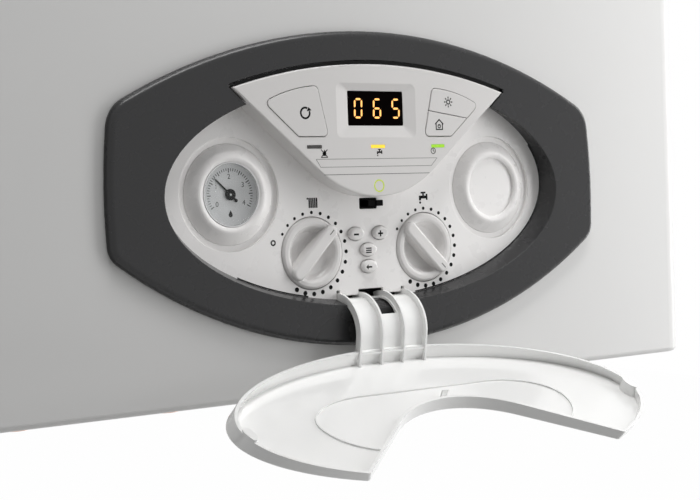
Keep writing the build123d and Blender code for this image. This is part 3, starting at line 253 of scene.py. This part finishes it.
def galvanised(name, look):
    zinc = Finish(name)
    cells = zinc.node("ShaderNodeTexVoronoi", None,
                      {"Vector": zinc.where(), "Scale": 1 / look["spangle"]}, output="Color")
    tone = zinc.node("ShaderNodeSeparateColor", None, {"Color": cells})
    dull = zinc.noise(size=0.06, detail=4.0)
    colour = zinc.between(tinted(look["colour"], 0.8), look["colour"], tone)
    rough = zinc.spread(tone, 0.34, 0.5) + dull * 0.1
    return zinc.close({"Base Color": colour, "Roughness": rough, "Metallic": 1.0,
                       "Normal": zinc.bumped(tone, 0.00002)})


def brushedSteel(name, look):
    steel = Finish(name)
    lines = steel.noise(size=0.0012, place=steel.stretched((1, 1, 0.02)))
    cloud = steel.noise(size=0.09, detail=3.0)
    colour = steel.between(tinted(look["colour"], 0.85), look["colour"], cloud)
    return steel.close({"Base Color": colour, "Metallic": 1.0,
                        "Roughness": steel.spread(lines, 0.22, 0.42),
                        "Normal": steel.bumped(lines, 0.00001)})


def ageingMetal(name, look):
    # drawn or cast metal with darker patches
    metal = Finish(name)
    patch = metal.noise(look["patch"], detail=5.0, distortion=0.4)
    grit = metal.noise(look["gritSize"], detail=3.0)
    colour = metal.between(look["colour"], look["dark"], patch.maths("POWER", patch, 2.2))
    rough = metal.spread(patch, look["roughness"] - 0.08, look["roughness"] + 0.14)
    return metal.close({"Base Color": colour, "Roughness": rough, "Metallic": look["metallic"],
                        "Normal": metal.bumped(grit, look["gritDepth"])})


def glossPaint(name, look):
    paint = Finish(name)
    sag = paint.noise(size=0.02)
    cloud = paint.noise(size=0.12, detail=3.0)
    colour = paint.between(tinted(look["colour"], 0.85), look["colour"], cloud)
    return paint.close({"Base Color": colour, "Roughness": paint.spread(sag, 0.18, 0.3),
                        "Coat Weight": 0.4, "Normal": paint.bumped(sag, 0.0001)})


def circuitBoard(name, look):
    board = Finish(name)
    upright = board.node("ShaderNodeMapping", None,
                         {"Vector": board.where(), "Rotation": (radians(90), 0, 0)})
    tracks = board.node("ShaderNodeTexBrick", {"offset": 0.37},
                        {"Vector": upright, "Scale": 60.0, "Mortar Size": 0.06,
                         "Color1": look["colour"], "Color2": tinted(look["colour"], 0.8),
                         "Mortar": look["track"]})
    rough = board.spread(board.noise(size=0.01), 0.3, 0.45)
    return board.close({"Base Color": tracks, "Roughness": rough})


def lampLenses(name, look):
    # three small lenses along X: off, yellow and green
    lamp = Finish(name)
    side = lamp.node("ShaderNodeSeparateXYZ", None, {"Vector": lamp.where()}, output="X")
    frost = lamp.noise(size=0.0012)
    burning = side > -look["gap"]
    lit = lamp.between(look["off"], look["middle"], burning)
    lit = lamp.between(lit, look["right"], side > look["gap"])
    return lamp.close({"Base Color": lit, "Roughness": lamp.spread(frost, 0.2, 0.35),
                       "Emission Color": lamp.between((0.0, 0.0, 0.0), lit, burning),
                       "Emission Strength": look["power"],
                       "Normal": lamp.bumped(frost, 0.00003)})


def glowing(name, look):
    lamp = Finish(name)
    frost = lamp.noise(size=0.0008)
    colour = lamp.between(tinted(look["colour"], 0.8), look["colour"], frost)
    return lamp.close({"Base Color": colour, "Roughness": 0.35, "Emission Color": colour,
                       "Emission Strength": look["power"]})


def clearCover(name, look):
    # thin clear plastic: see-through face on, with a sheen that grows at a slant
    glass = Finish(name)
    slant = glass.node("ShaderNodeLayerWeight", None, {"Blend": 0.5}, output="Facing")
    rim = slant.maths("POWER", slant, look["fall"])
    dust = glass.noise(size=0.004, detail=3.0)
    clear = glass.node("ShaderNodeBsdfTransparent", None, {"Color": look["tint"]})
    sheen = glass.node("ShaderNodeBsdfPrincipled", None,
                       {"Base Color": look["body"], "Roughness": glass.spread(dust, 0.03, 0.09),
                        "Specular IOR Level": 1.0, "Coat Weight": 1.0})
    factor = glass.spread(rim, look["least"], 1.0)
    shader = glass.node("ShaderNodeMixShader", None, {0: factor, 1: clear, 2: sheen})
    glass.node("ShaderNodeOutputMaterial", None, {"Surface": shader})
    return glass.material


def printedInk(name, look):
    # flat colour for real print, and also for the painted shadow strips in gaps, the seam and
    # grooves
    ink = Finish(name)
    grain = ink.noise(size=0.0004)
    colour = ink.between(look["colour"], tinted(look["colour"], 1.8), grain)
    return ink.close({"Base Color": colour, "Roughness": look["roughness"],
                      "Specular IOR Level": 0.1, "Normal": ink.bumped(grain, 0.000005)})


def printedDial(name, look):
    dial = Finish(name)
    brush = dial.noise(size=0.0009, place=dial.stretched((1, 1, 0.05)))
    colour = dial.between(tinted(look["colour"], 0.93), look["colour"], brush)
    return dial.close({"Base Color": colour, "Metallic": look["metallic"],
                       "Roughness": dial.spread(brush, 0.3, 0.42)})


finishes = {
    "casing": powderPaint("casingPaint", {
        "colour": (0.70, 0.697, 0.69), "roughness": 0.34, "peelSize": 0.0022,
        "peelDepth": 0.000012}),
    "surround": mouldedPlastic("surroundPlastic", {
        "colour": (0.027, 0.027, 0.028), "roughness": 0.27, "grainSize": 0.0005,
        "grainDepth": 0.000006, "edge": 0.0009, "gloss": 0.34}),
    "fascia": mouldedPlastic("fasciaPlastic", {
        "colour": (0.91, 0.895, 0.885), "roughness": 0.28, "grainSize": 0.0004,
        "grainDepth": 0.000008, "edge": 0.0007}),
    "cover": mouldedPlastic("coverPlastic", {
        "colour": (0.715, 0.70, 0.69), "roughness": 0.3, "grainSize": 0.0004,
        "grainDepth": 0.000006, "edge": 0.0006}),
    "knob": mouldedPlastic("knobPlastic", {
        "colour": (0.78, 0.765, 0.755), "roughness": 0.18, "grainSize": 0.0006,
        "grainDepth": 0.000006, "edge": 0.0007}),
    "button": mouldedPlastic("buttonPlastic", {
        "colour": (0.84, 0.825, 0.815), "roughness": 0.2, "grainSize": 0.0006,
        "grainDepth": 0.000004, "edge": 0.0005}),
    "flap": mouldedPlastic("flapPlastic", {
        "colour": (0.94, 0.94, 0.93), "roughness": 0.16, "grainSize": 0.004,
        "grainDepth": 0.00001, "edge": 0.0004, "coat": 0.8}),
    "black": mouldedPlastic("blackPlastic", {
        "colour": (0.004, 0.004, 0.004), "roughness": 0.36, "grainSize": 0.0005,
        "grainDepth": 0.00001, "edge": 0.0003, "gloss": 0.05}),
    "box": mouldedPlastic("boxPlastic", {
        "colour": (0.22, 0.22, 0.23), "roughness": 0.45, "grainSize": 0.0008,
        "grainDepth": 0.00002}),
    "window": mouldedPlastic("smokedWindow", {
        "colour": (0.003, 0.002, 0.002), "roughness": 0.12, "grainSize": 0.004,
        "grainDepth": 0.000002, "gloss": 0.0}),
    "ceramic": mouldedPlastic("ceramicGlaze", {
        "colour": (0.82, 0.81, 0.78), "roughness": 0.2, "grainSize": 0.002,
        "grainDepth": 0.00002, "coat": 0.4}),
    "galvanised": galvanised("galvanisedSheet", {
        "colour": (0.62, 0.64, 0.66), "spangle": 0.009}),
    "zinc": galvanised("zincPlate", {"colour": (0.72, 0.72, 0.70), "spangle": 0.0015}),
    "stainless": brushedSteel("stainlessSheet", {"colour": (0.66, 0.66, 0.65)}),
    "copper": ageingMetal("copperPipe", {
        "colour": (0.75, 0.40, 0.27), "dark": (0.32, 0.15, 0.09), "patch": 0.05, "metallic": 1.0,
        "roughness": 0.28, "gritSize": 0.001, "gritDepth": 0.00001}),
    "brass": ageingMetal("brassFittings", {
        "colour": (0.72, 0.55, 0.28), "dark": (0.40, 0.28, 0.12), "patch": 0.02, "metallic": 1.0,
        "roughness": 0.3, "gritSize": 0.0008, "gritDepth": 0.00002}),
    "castBlack": ageingMetal("castIronPaint", {
        "colour": (0.03, 0.03, 0.032), "dark": (0.06, 0.058, 0.055), "patch": 0.03,
        "metallic": 0.0, "roughness": 0.42, "gritSize": 0.0012, "gritDepth": 0.00012}),
    "castGrey": ageingMetal("dieCastAlloy", {
        "colour": (0.60, 0.60, 0.60), "dark": (0.40, 0.40, 0.41), "patch": 0.04, "metallic": 1.0,
        "roughness": 0.42, "gritSize": 0.0009, "gritDepth": 0.00006}),
    "vessel": glossPaint("vesselPaint", {"colour": (0.50, 0.04, 0.035)}),
    "board": circuitBoard("boardLacquer", {
        "colour": (0.03, 0.18, 0.07), "track": (0.2, 0.3, 0.1)}),
    "lamps": lampLenses("lampLens", {
        "off": (0.045, 0.042, 0.04), "middle": (0.90, 0.62, 0.045), "right": (0.26, 0.52, 0.02),
        "gap": 0.025, "power": 0.55}),
    "power": glowing("powerLens", {"colour": (0.50, 0.62, 0.06), "power": 0.5}),
    "digits": glowing("digitLight", {"colour": (1.0, 0.50, 0.14), "power": 1.0}),
    "dial": printedDial("dialPrint", {"colour": (0.78, 0.775, 0.78), "metallic": 0.1}),
    "lens": clearCover("clearLens", {
        "tint": (0.985, 0.99, 0.99), "body": (0.85, 0.87, 0.87), "fall": 3.0, "least": 0.02}),
    # black: real print, and also painted shadow strips along the well's foot and the cover's gap
    "ink": printedInk("blackInkAndShadow", {"colour": (0.004, 0.004, 0.004), "roughness": 0.6}),
    # grey: the label lines' print, and painted shade in the cover's seam and the knobs' pointer
    # grooves
    "groove": printedInk("greyPrintAndGrooveShade", {"colour": (0.13, 0.13, 0.125), "roughness": 0.6}),
}
print(len(finishes), "finishes made")

nodeFinish = {
    "casing": ["side_panel_left", "side_panel_right", "top_panel", "bottom_tray", "front_casing"],
    "surround": ["panel_surround"],
    "fascia": ["panel_fascia", "gauge_bezel", "timer_blank"],
    "cover": ["display_cover", "reset_key", "comfort_key", "auto_key"],
    "knob": ["heating_knob", "hot_water_knob"],
    "button": ["minus_button", "plus_button", "menu_button", "back_button"],
    "flap": ["flap"],
    "black": ["display_module", "gauge_needle", "dial_encoders", "switch_body",
              "switch_slider", "pressure_switch"],
    "box": ["control_box", "pump_impeller"],
    "window": ["display_window"],
    "ceramic": ["electrodes"],
    "galvanised": ["wall_bracket", "rear_frame", "combustion_chamber", "flue_hood", "fan_housing",
                   "fan_impeller", "flue_collar"],
    "zinc": ["casing_screws", "hinge_pin"],
    "stainless": ["left_tank", "right_tank", "burner", "plate_exchanger"],
    "copper": ["heat_exchanger", "gas_pipe", "water_pipes"],
    "brass": ["gas_manifold", "diverter_valve", "safety_valve"],
    "castBlack": ["fan_motor", "pump_body"],
    "castGrey": ["gas_valve"],
    "vessel": ["expansion_vessel", "safety_knob"],
    "board": ["control_board"],
    "lamps": ["indicator_lenses"],
    "power": ["power_lens"],
    "dial": ["gauge_case", "gauge_dial"],
    "lens": ["gauge_lens"],
}
for look, names in nodeFinish.items():
    for name in names:
        mesh = nodes[name].data
        mesh.materials.clear()
        mesh.materials.append(finishes[look])
print("finishes given to the frame's nodes")


# shapes on the panel, in millimetres from the oval's centre: x right, v up, out of the fascia
def onPanel(x, v, out):
    return Vector((x * mm, panel["fasciaY"] - out * mm, panel["centreZ"] + v * mm))


def arcPoints(x, v, radius, start, end, steps=24):
    turns = [radians(start + (end - start) * step / steps) for step in range(steps + 1)]
    return [(x + radius * cos(turn), v + radius * sin(turn)) for turn in turns]


def disc(x, v, radius, steps=24):
    return [arcPoints(x, v, radius, 0, 360, steps)[:-1]]


def stroke(points, width, closed=False):
    # quads along a line of points, mitred where it bends
    count = len(points)
    sides = []
    for index, point in enumerate(points):
        before = points[index - 1] if closed or index else point
        after = points[(index + 1) % count] if closed or index < count - 1 else point
        first = Vector(point) - Vector(before)
        second = Vector(after) - Vector(point)
        first = first.normalized() if first.length else second.normalized()
        second = second.normalized() if second.length else first
        middle = (first + second).normalized()
        normal = Vector((-middle.y, middle.x))
        reach = width / 2 / max(0.4, normal.dot(Vector((-first.y, first.x))))
        sides.append((Vector(point) + normal * reach, Vector(point) - normal * reach))
    pairs = list(zip(sides, sides[1:] + sides[:1]))
    return [[tuple(a[0]), tuple(a[1]), tuple(b[1]), tuple(b[0])]
            for a, b in (pairs if closed else pairs[:-1])]


def ring(x, v, radius, width, steps=36):
    return stroke(arcPoints(x, v, radius, 0, 360, steps)[:-1], width, closed=True)


def moved(loops, x, v, scale=1.0, turn=0.0):
    c, s = cos(radians(turn)), sin(radians(turn))
    return [[(x + scale * (a * c - b * s), v + scale * (a * s + b * c)) for a, b in loop]
            for loop in loops]


def placed(name, mesh, finish, body):
    # a finished mesh becomes a piece that rides on a body
    mesh.materials.append(finishes[finish])
    piece = bpy.data.objects.new(name, mesh)
    bpy.context.scene.collection.objects.link(piece)
    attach(piece, body)
    return piece


def meshOf(name, built):
    bmesh.ops.recalc_face_normals(built, faces=built.faces)
    mesh = bpy.data.meshes.new(name)
    built.to_mesh(mesh)
    built.free()
    return mesh


def flatPiece(name, loops, out, finish="ink", body="root", height=0.05):
    # thin plates of print, trim and painted shadow strips that lie on a face parallel to the fascia
    built = bmesh.new()
    for loop in loops:
        low = [built.verts.new(onPanel(x, v, out)) for x, v in loop]
        high = [built.verts.new(onPanel(x, v, out + height)) for x, v in loop]
        built.faces.new(high)
        for index in range(len(loop)):
            after = (index + 1) % len(loop)
            built.faces.new((low[index], low[after], high[after], high[index]))
    placed(name, meshOf(name, built), finish, body)


def turnedPiece(name, x, v, profile, finish, body, steps=96):
    # profile: (radius, out) points turned about an axis square to the fascia
    built = bmesh.new()
    rings = []
    for radius, out in profile:
        points = arcPoints(x, v, radius, 0, 360, steps)[:-1] if radius else [(x, v)]
        rings.append([built.verts.new(onPanel(a, b, out)) for a, b in points])
    for first, second in zip(rings, rings[1:]):
        for index in range(steps):
            after = (index + 1) % steps
            corners = [first[index % len(first)], first[after % len(first)],
                       second[after % len(second)], second[index % len(second)]]
            corners = list(dict.fromkeys(corners))
            if len(corners) > 2:
                built.faces.new(corners)
    for face in built.faces:
        face.smooth = True
    return placed(name, meshOf(name, built), finish, body)


# dots round the two knobs, their signs and the small ring of the off position; angles in degrees
dials = {
    "x": 46.6, "v": -43.0, "shift": 0.5, "circle": 26.8, "first": 150, "step": -15, "count": 19,
    "smallest": 1.0, "largest": 1.65,
    "offAngle": 165, "offReach": 31.0, "offSize": 1.5, "offWidth": 0.95,
    "radiator": (-44.6, -9.9), "ribs": 5, "ribFrom": -2.9, "ribPitch": 1.46, "ribWidth": 1.12,
    "ribHeight": 6.6, "tap": (47.5, -8.5), "tapSize": 1.05,
    "out": -0.02,               # print stands 0.03 mm off the fascia
}


def plate(left, low, right, high):
    return [(left, low), (right, low), (right, high), (left, high)]


def radiatorSign():
    look = dials
    half, high = look["ribWidth"] / 2, look["ribHeight"] / 2
    middles = [look["ribFrom"] + rib * look["ribPitch"] for rib in range(look["ribs"])]
    return [plate(x - half, -high, x + half, high) for x in middles] + disc(-4.3, 2.8, 0.65, 12)


def tapSign():
    parts = ((-3.6, -0.9, 2.2, 1.0), (2.2, -1.9, 3.5, 2.1), (-3.6, -2.1, -1.9, -0.9),
             (-0.8, 1.0, 0.6, 2.4), (-2.1, 2.4, 1.9, 3.5))
    return [plate(*part) for part in parts] + disc(-2.75, -3.5, 0.8, 12)


def dialDots():
    look = dials
    loops = []
    for side in (-1, 1):
        x, v = side * look["x"] + look["shift"], look["v"]
        for index in range(look["count"]):
            turn = radians(look["first"] + index * look["step"])
            size = look["smallest"] + (look["largest"] - look["smallest"]) * index / look["count"]
            loops += disc(x + look["circle"] * cos(turn), v + look["circle"] * sin(turn), size, 16)
    turn, reach = radians(look["offAngle"]), look["offReach"]
    return loops + ring(-look["x"] + reach * cos(turn), look["v"] + reach * sin(turn),
                        look["offSize"], look["offWidth"], 20)


flatPiece("dial_dots", dialDots(), dials["out"])
flatPiece("radiator_sign", moved(radiatorSign(), *dials["radiator"]), dials["out"])
flatPiece("tap_sign", moved(tapSign(), *dials["tap"], dials["tapSize"]), dials["out"])


# the well's wall stands a hair off the fascia: black strips along its foot, right and lower left,
# are painted shadow of that gap
paintedWellShadow = {"a": 156.0, "b": 75.3, "width": 0.8, "right": (21, -76), "left": (-109, -132)}


def ovalArc(start, end, steps=60):
    turns = [radians(start + (end - start) * step / steps) for step in range(steps + 1)]
    return [(paintedWellShadow["a"] * cos(turn), paintedWellShadow["b"] * sin(turn)) for turn in turns]


for side in ("right", "left"):
    line = stroke(ovalArc(*paintedWellShadow[side]), paintedWellShadow["width"])
    # a black strip of painted shadow along the wall's foot
    flatPiece("well_line_" + side, line, dials["out"])
print("fascia print made")


# print on the display cover, with painted shadow in the gap above it and along its seam
cover = {
    "face": 13.6,               # in front of the fascia
    "labelTop": 18.1, "labelLow": 12.9, "labelAbove": 50.0, "labelLeft": -46.6, "labelRight": 44.8,
    "labelWidth": 0.3, "seam": 7.9, "seamFrom": -44.0, "seamTo": 43.0, "seamWidth": 0.4,
    "grooveHeight": 0.03,
    "flame": (-43.4, 21.9, 1.25), "tap": (1.2, 22.3, 0.62), "clock": (46.8, 22.9, 0.9),
}
# the gap between the cover's top edge and the surround lies in shadow: a black strip over it is
# painted shadow
coverGapShadow = {"centre": -286.0, "radius": 368.1, "width": 2.0, "half": 17.2, "out": 12.4}


def flameOff():
    # a flame crossed out
    flame = [(0, 1.9), (0.9, 0.9), (1.2, -0.2), (0.7, -1.3), (-0.7, -1.3), (-1.2, -0.2),
             (-0.5, 0.6)]
    return ([flame] + stroke([(-2.0, -2.0), (2.0, 2.0)], 0.45)
            + stroke([(-2.0, 2.0), (2.0, -2.0)], 0.45) + stroke([(-2.1, -2.1), (2.1, -2.1)], 0.35))


def clockSign():
    return (ring(0, 0, 2.1, 0.6, 28) + stroke([(0, 0), (0, 1.4)], 0.55)
            + stroke([(0, 0), (1.0, -0.5)], 0.55))


def labelLines():
    # outline of the empty label strip: two slanting ends, then the long lines
    look = cover
    ends = [((-look["labelAbove"], look["labelTop"]), (look["labelLeft"], look["labelLow"])),
            ((look["labelAbove"], look["labelTop"]), (look["labelRight"], look["labelLow"]))]
    lines = ends + [(ends[0][index], ends[1][index]) for index in (0, 1)]
    return [loop for line in lines for loop in stroke(line, look["labelWidth"])]


def gapLine():
    look = coverGapShadow
    arc = arcPoints(0, look["centre"], look["radius"], 90 + look["half"], 90 - look["half"], 60)
    return stroke(arc, look["width"])


# painted shade: a grey strip along the cover's seam stands for the shade in it
seamShadowStrip = stroke([(cover["seamFrom"], cover["seam"]), (cover["seamTo"], cover["seam"])],
                  cover["seamWidth"])
# painted shadow: a black strip along the gap above the cover
flatPiece("cover_gap_shadow", gapLine(), coverGapShadow["out"])
# the label lines are print; the seam's grey strip is painted shade
for name, loops in (("cover_lines", labelLines()), ("cover_seam", seamShadowStrip)):
    flatPiece(name, loops, cover["face"], "groove", height=cover["grooveHeight"])
for name, sign, place in (("flame_off_sign", flameOff, "flame"), ("cover_tap_sign", tapSign, "tap"),
                          ("clock_sign", clockSign, "clock")):
    flatPiece(name, moved(sign(), *cover[place]), cover["face"])
print("display cover print made")


# signs on the three keys and the four buttons: x, v and size of each
keySigns = {"face": 14.0, "height": 0.03,
            "reset": (-57.5, 48.0, 1.15), "comfort": (61.0, 56.3, 1.0), "auto": (52.5, 40.4, 1.05)}
buttonSigns = {"face": 3.0, "height": 0.03,
               "minus": (-12.5, -32.0, 1.15), "plus": (7.5, -32.0, 1.15),
               "menu": (-2.7, -43.0, 1.15), "back": (-2.7, -54.2, 1.15)}


def resetSign():
    arc = arcPoints(0, 0, 3.0, 60, 380, 28)
    x, v = arc[-1]
    return stroke(arc, 1.1) + [[(x - 1.7, v - 0.1), (x + 1.5, v + 0.5), (x - 0.6, v + 2.3)]]


def sunSign():
    rays = []
    for index in range(8):
        turn = radians(45 * index)
        rays += stroke([(reach * cos(turn), reach * sin(turn)) for reach in (2.3, 3.7)], 0.8)
    return ring(0, 0, 1.4, 0.8, 24) + rays


def houseSign():
    return (stroke([(-3.4, 0.6), (0, 3.6), (3.4, 0.6)], 0.8)
            + stroke([(-2.6, 1.0), (-2.6, -2.8), (2.6, -2.8), (2.6, 1.0)], 0.75)
            + ring(0, -0.7, 1.1, 0.6, 20) + stroke([(0, -0.7), (0, 0.1)], 0.5))


def minusSign():
    return stroke([(-1.8, 0), (1.8, 0)], 1.1)


def plusSign():
    return (stroke([(-1.8, 0), (1.8, 0)], 0.95) + stroke([(0, -1.8), (0, -0.47)], 0.95)
            + stroke([(0, 0.47), (0, 1.8)], 0.95))


def menuSign():
    return [line for v in (-1.2, 0.0, 1.2) for line in stroke([(-2.0, v), (2.0, v)], 0.75)]


def backSign():
    return stroke([(2.0, 0.0), (-0.7, 0.0)], 0.9) + [[(-2.3, 0.0), (-0.6, -1.5), (-0.6, 1.5)]]


for look, kind, signs in (
        (keySigns, "_key", {"reset": resetSign, "comfort": sunSign, "auto": houseSign}),
        (buttonSigns, "_button", {"minus": minusSign, "plus": plusSign, "menu": menuSign,
                                  "back": backSign})):
    for name, sign in signs.items():
        flatPiece(name + "_sign", moved(sign(), *look[name]), look["face"], body=name + kind,
                  height=look["height"])
print("key and button signs made")


# three orange seven-segment digits behind the smoked window
display = {
    "x": 1.3, "v": 51.5, "pitch": 15.5, "height": 13.4, "width": 6.8, "bar": 1.3, "gap": 0.55,
    "lean": 0.03, "face": 12.2, "thickness": 0.02, "shows": "065",
}
segmentsOf = {"0": "abcdef", "1": "bc", "2": "abged", "3": "abgcd", "4": "fgbc", "5": "afgcd",
              "6": "afgedc", "7": "abc", "8": "abcdefg", "9": "abcdfg"}


def segment(letter):
    look = display
    wide, high, bar, gap = look["width"] / 2, look["height"] / 2, look["bar"] / 2, look["gap"]
    wide, high = wide - bar, high - bar
    ends = {"a": ((-wide, high), (wide, high)), "b": ((wide, high), (wide, 0)),
            "c": ((wide, 0), (wide, -high)), "d": ((-wide, -high), (wide, -high)),
            "e": ((-wide, 0), (-wide, -high)), "f": ((-wide, high), (-wide, 0)),
            "g": ((-wide, 0), (wide, 0))}[letter]
    start, end = (Vector(point) for point in ends)
    along = (end - start).normalized()
    across = Vector((-along.y, along.x)) * bar
    start, end = start + along * gap, end - along * gap
    loop = [start, start + along * bar + across, end - along * bar + across, end,
            end - along * bar - across, start + along * bar - across]
    return [(point.x + point.y * look["lean"], point.y) for point in loop]


def digits():
    loops = []
    for index, character in enumerate(display["shows"]):
        shift = display["x"] + (index - 1) * display["pitch"]
        loops += moved([segment(letter) for letter in segmentsOf[character]], shift, display["v"])
    return loops


flatPiece("display_digits", digits(), display["face"], "digits", height=display["thickness"])
print("display digits made")


# the gauge's scale, and a domed cover over it; angles in degrees
gauge = {
    "x": -107.8, "v": -3.0, "face": 0.4, "ink": 0.02, "zero": 212.0, "perNumber": 60.0, "last": 4,
    "outer": 16.8, "longTick": 2.8, "longWidth": 0.6, "shortTick": 1.8, "shortWidth": 0.45,
    "numbers": 11.4, "numberSize": 4.6, "numberDepth": 0.01, "dropBelow": 12.4, "dropSize": 1.3,
    "glass": [(0, 2.0), (19.8, 2.0), (19.8, 2.5), (19.0, 3.1), (16.0, 3.8), (11.0, 4.3),
              (5.5, 4.6), (0, 4.7)],
}


def onGauge(reach, value):
    # place on the dial at a value of its scale
    turn = radians(gauge["zero"] - gauge["perNumber"] * value)
    return gauge["x"] + reach * cos(turn), gauge["v"] + reach * sin(turn)


def gaugeTicks():
    # ten steps to a number, each fifth one long
    look = gauge
    loops = []
    for index in range(10 * look["last"] + 1):
        kind = "short" if index % 5 else "long"
        inner = look["outer"] - look[kind + "Tick"]
        points = [onGauge(reach, index / 10) for reach in (inner, look["outer"])]
        loops += stroke(points, look[kind + "Width"])
    return loops


def numberPiece(number):
    look = gauge
    name = "gauge_number_" + str(number)
    data = bpy.data.curves.new(name, "FONT")
    data.body, data.size = str(number), look["numberSize"] * mm
    data.extrude = look["numberDepth"] * mm
    data.align_x, data.align_y = "CENTER", "CENTER"
    drawn = bpy.data.objects.new(name, data)
    bpy.context.scene.collection.objects.link(drawn)
    bpy.context.view_layer.update()
    shaped = drawn.evaluated_get(bpy.context.evaluated_depsgraph_get())
    mesh = bpy.data.meshes.new_from_object(shaped)
    bpy.data.objects.remove(drawn)
    place = onPanel(*onGauge(look["numbers"], number), look["face"] + look["ink"])
    mesh.transform(Matrix.Translation(place) @ Matrix.Rotation(pi / 2, 4, "X"))
    mesh.materials.clear()
    placed(name, mesh, "ink", "root")


flatPiece("gauge_ticks", gaugeTicks(), gauge["face"], height=gauge["ink"])
for number in range(gauge["last"] + 1):
    numberPiece(number)
dropSign = [[(0.0, 2.0), (0.75, 0.7), (1.15, -0.3), (0.95, -1.1), (0.0, -1.6), (-0.95, -1.1),
             (-1.15, -0.3), (-0.75, 0.7)]]
dropSign = moved(dropSign, gauge["x"], gauge["v"] - gauge["dropBelow"], gauge["dropSize"])
flatPiece("gauge_drop_sign", dropSign, gauge["face"], height=gauge["ink"])
gaugeGlass = turnedPiece("gauge_glass", gauge["x"], gauge["v"], gauge["glass"], "lens", "root")
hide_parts("gauge_lens")
print("gauge scale made")


# engraved pointer lines at the tips of the knobs' grips, drawn as flat grey strips that paint the
# shade in the grooves
pointer = {"from": 16.5, "to": 21.0, "width": 0.7, "face": 4.8, "height": 0.02, "turn": -45}
for side, name in ((-1, "heating_knob"), (1, "hot_water_knob")):
    # painted shade of the engraved groove
    line = stroke([(pointer["from"], 0), (pointer["to"], 0)], pointer["width"])
    line = moved(line, side * dials["x"], dials["v"], turn=side * pointer["turn"])
    flatPiece(name + "_pointer", line, pointer["face"], "groove", name, pointer["height"])
print("knob pointers made")
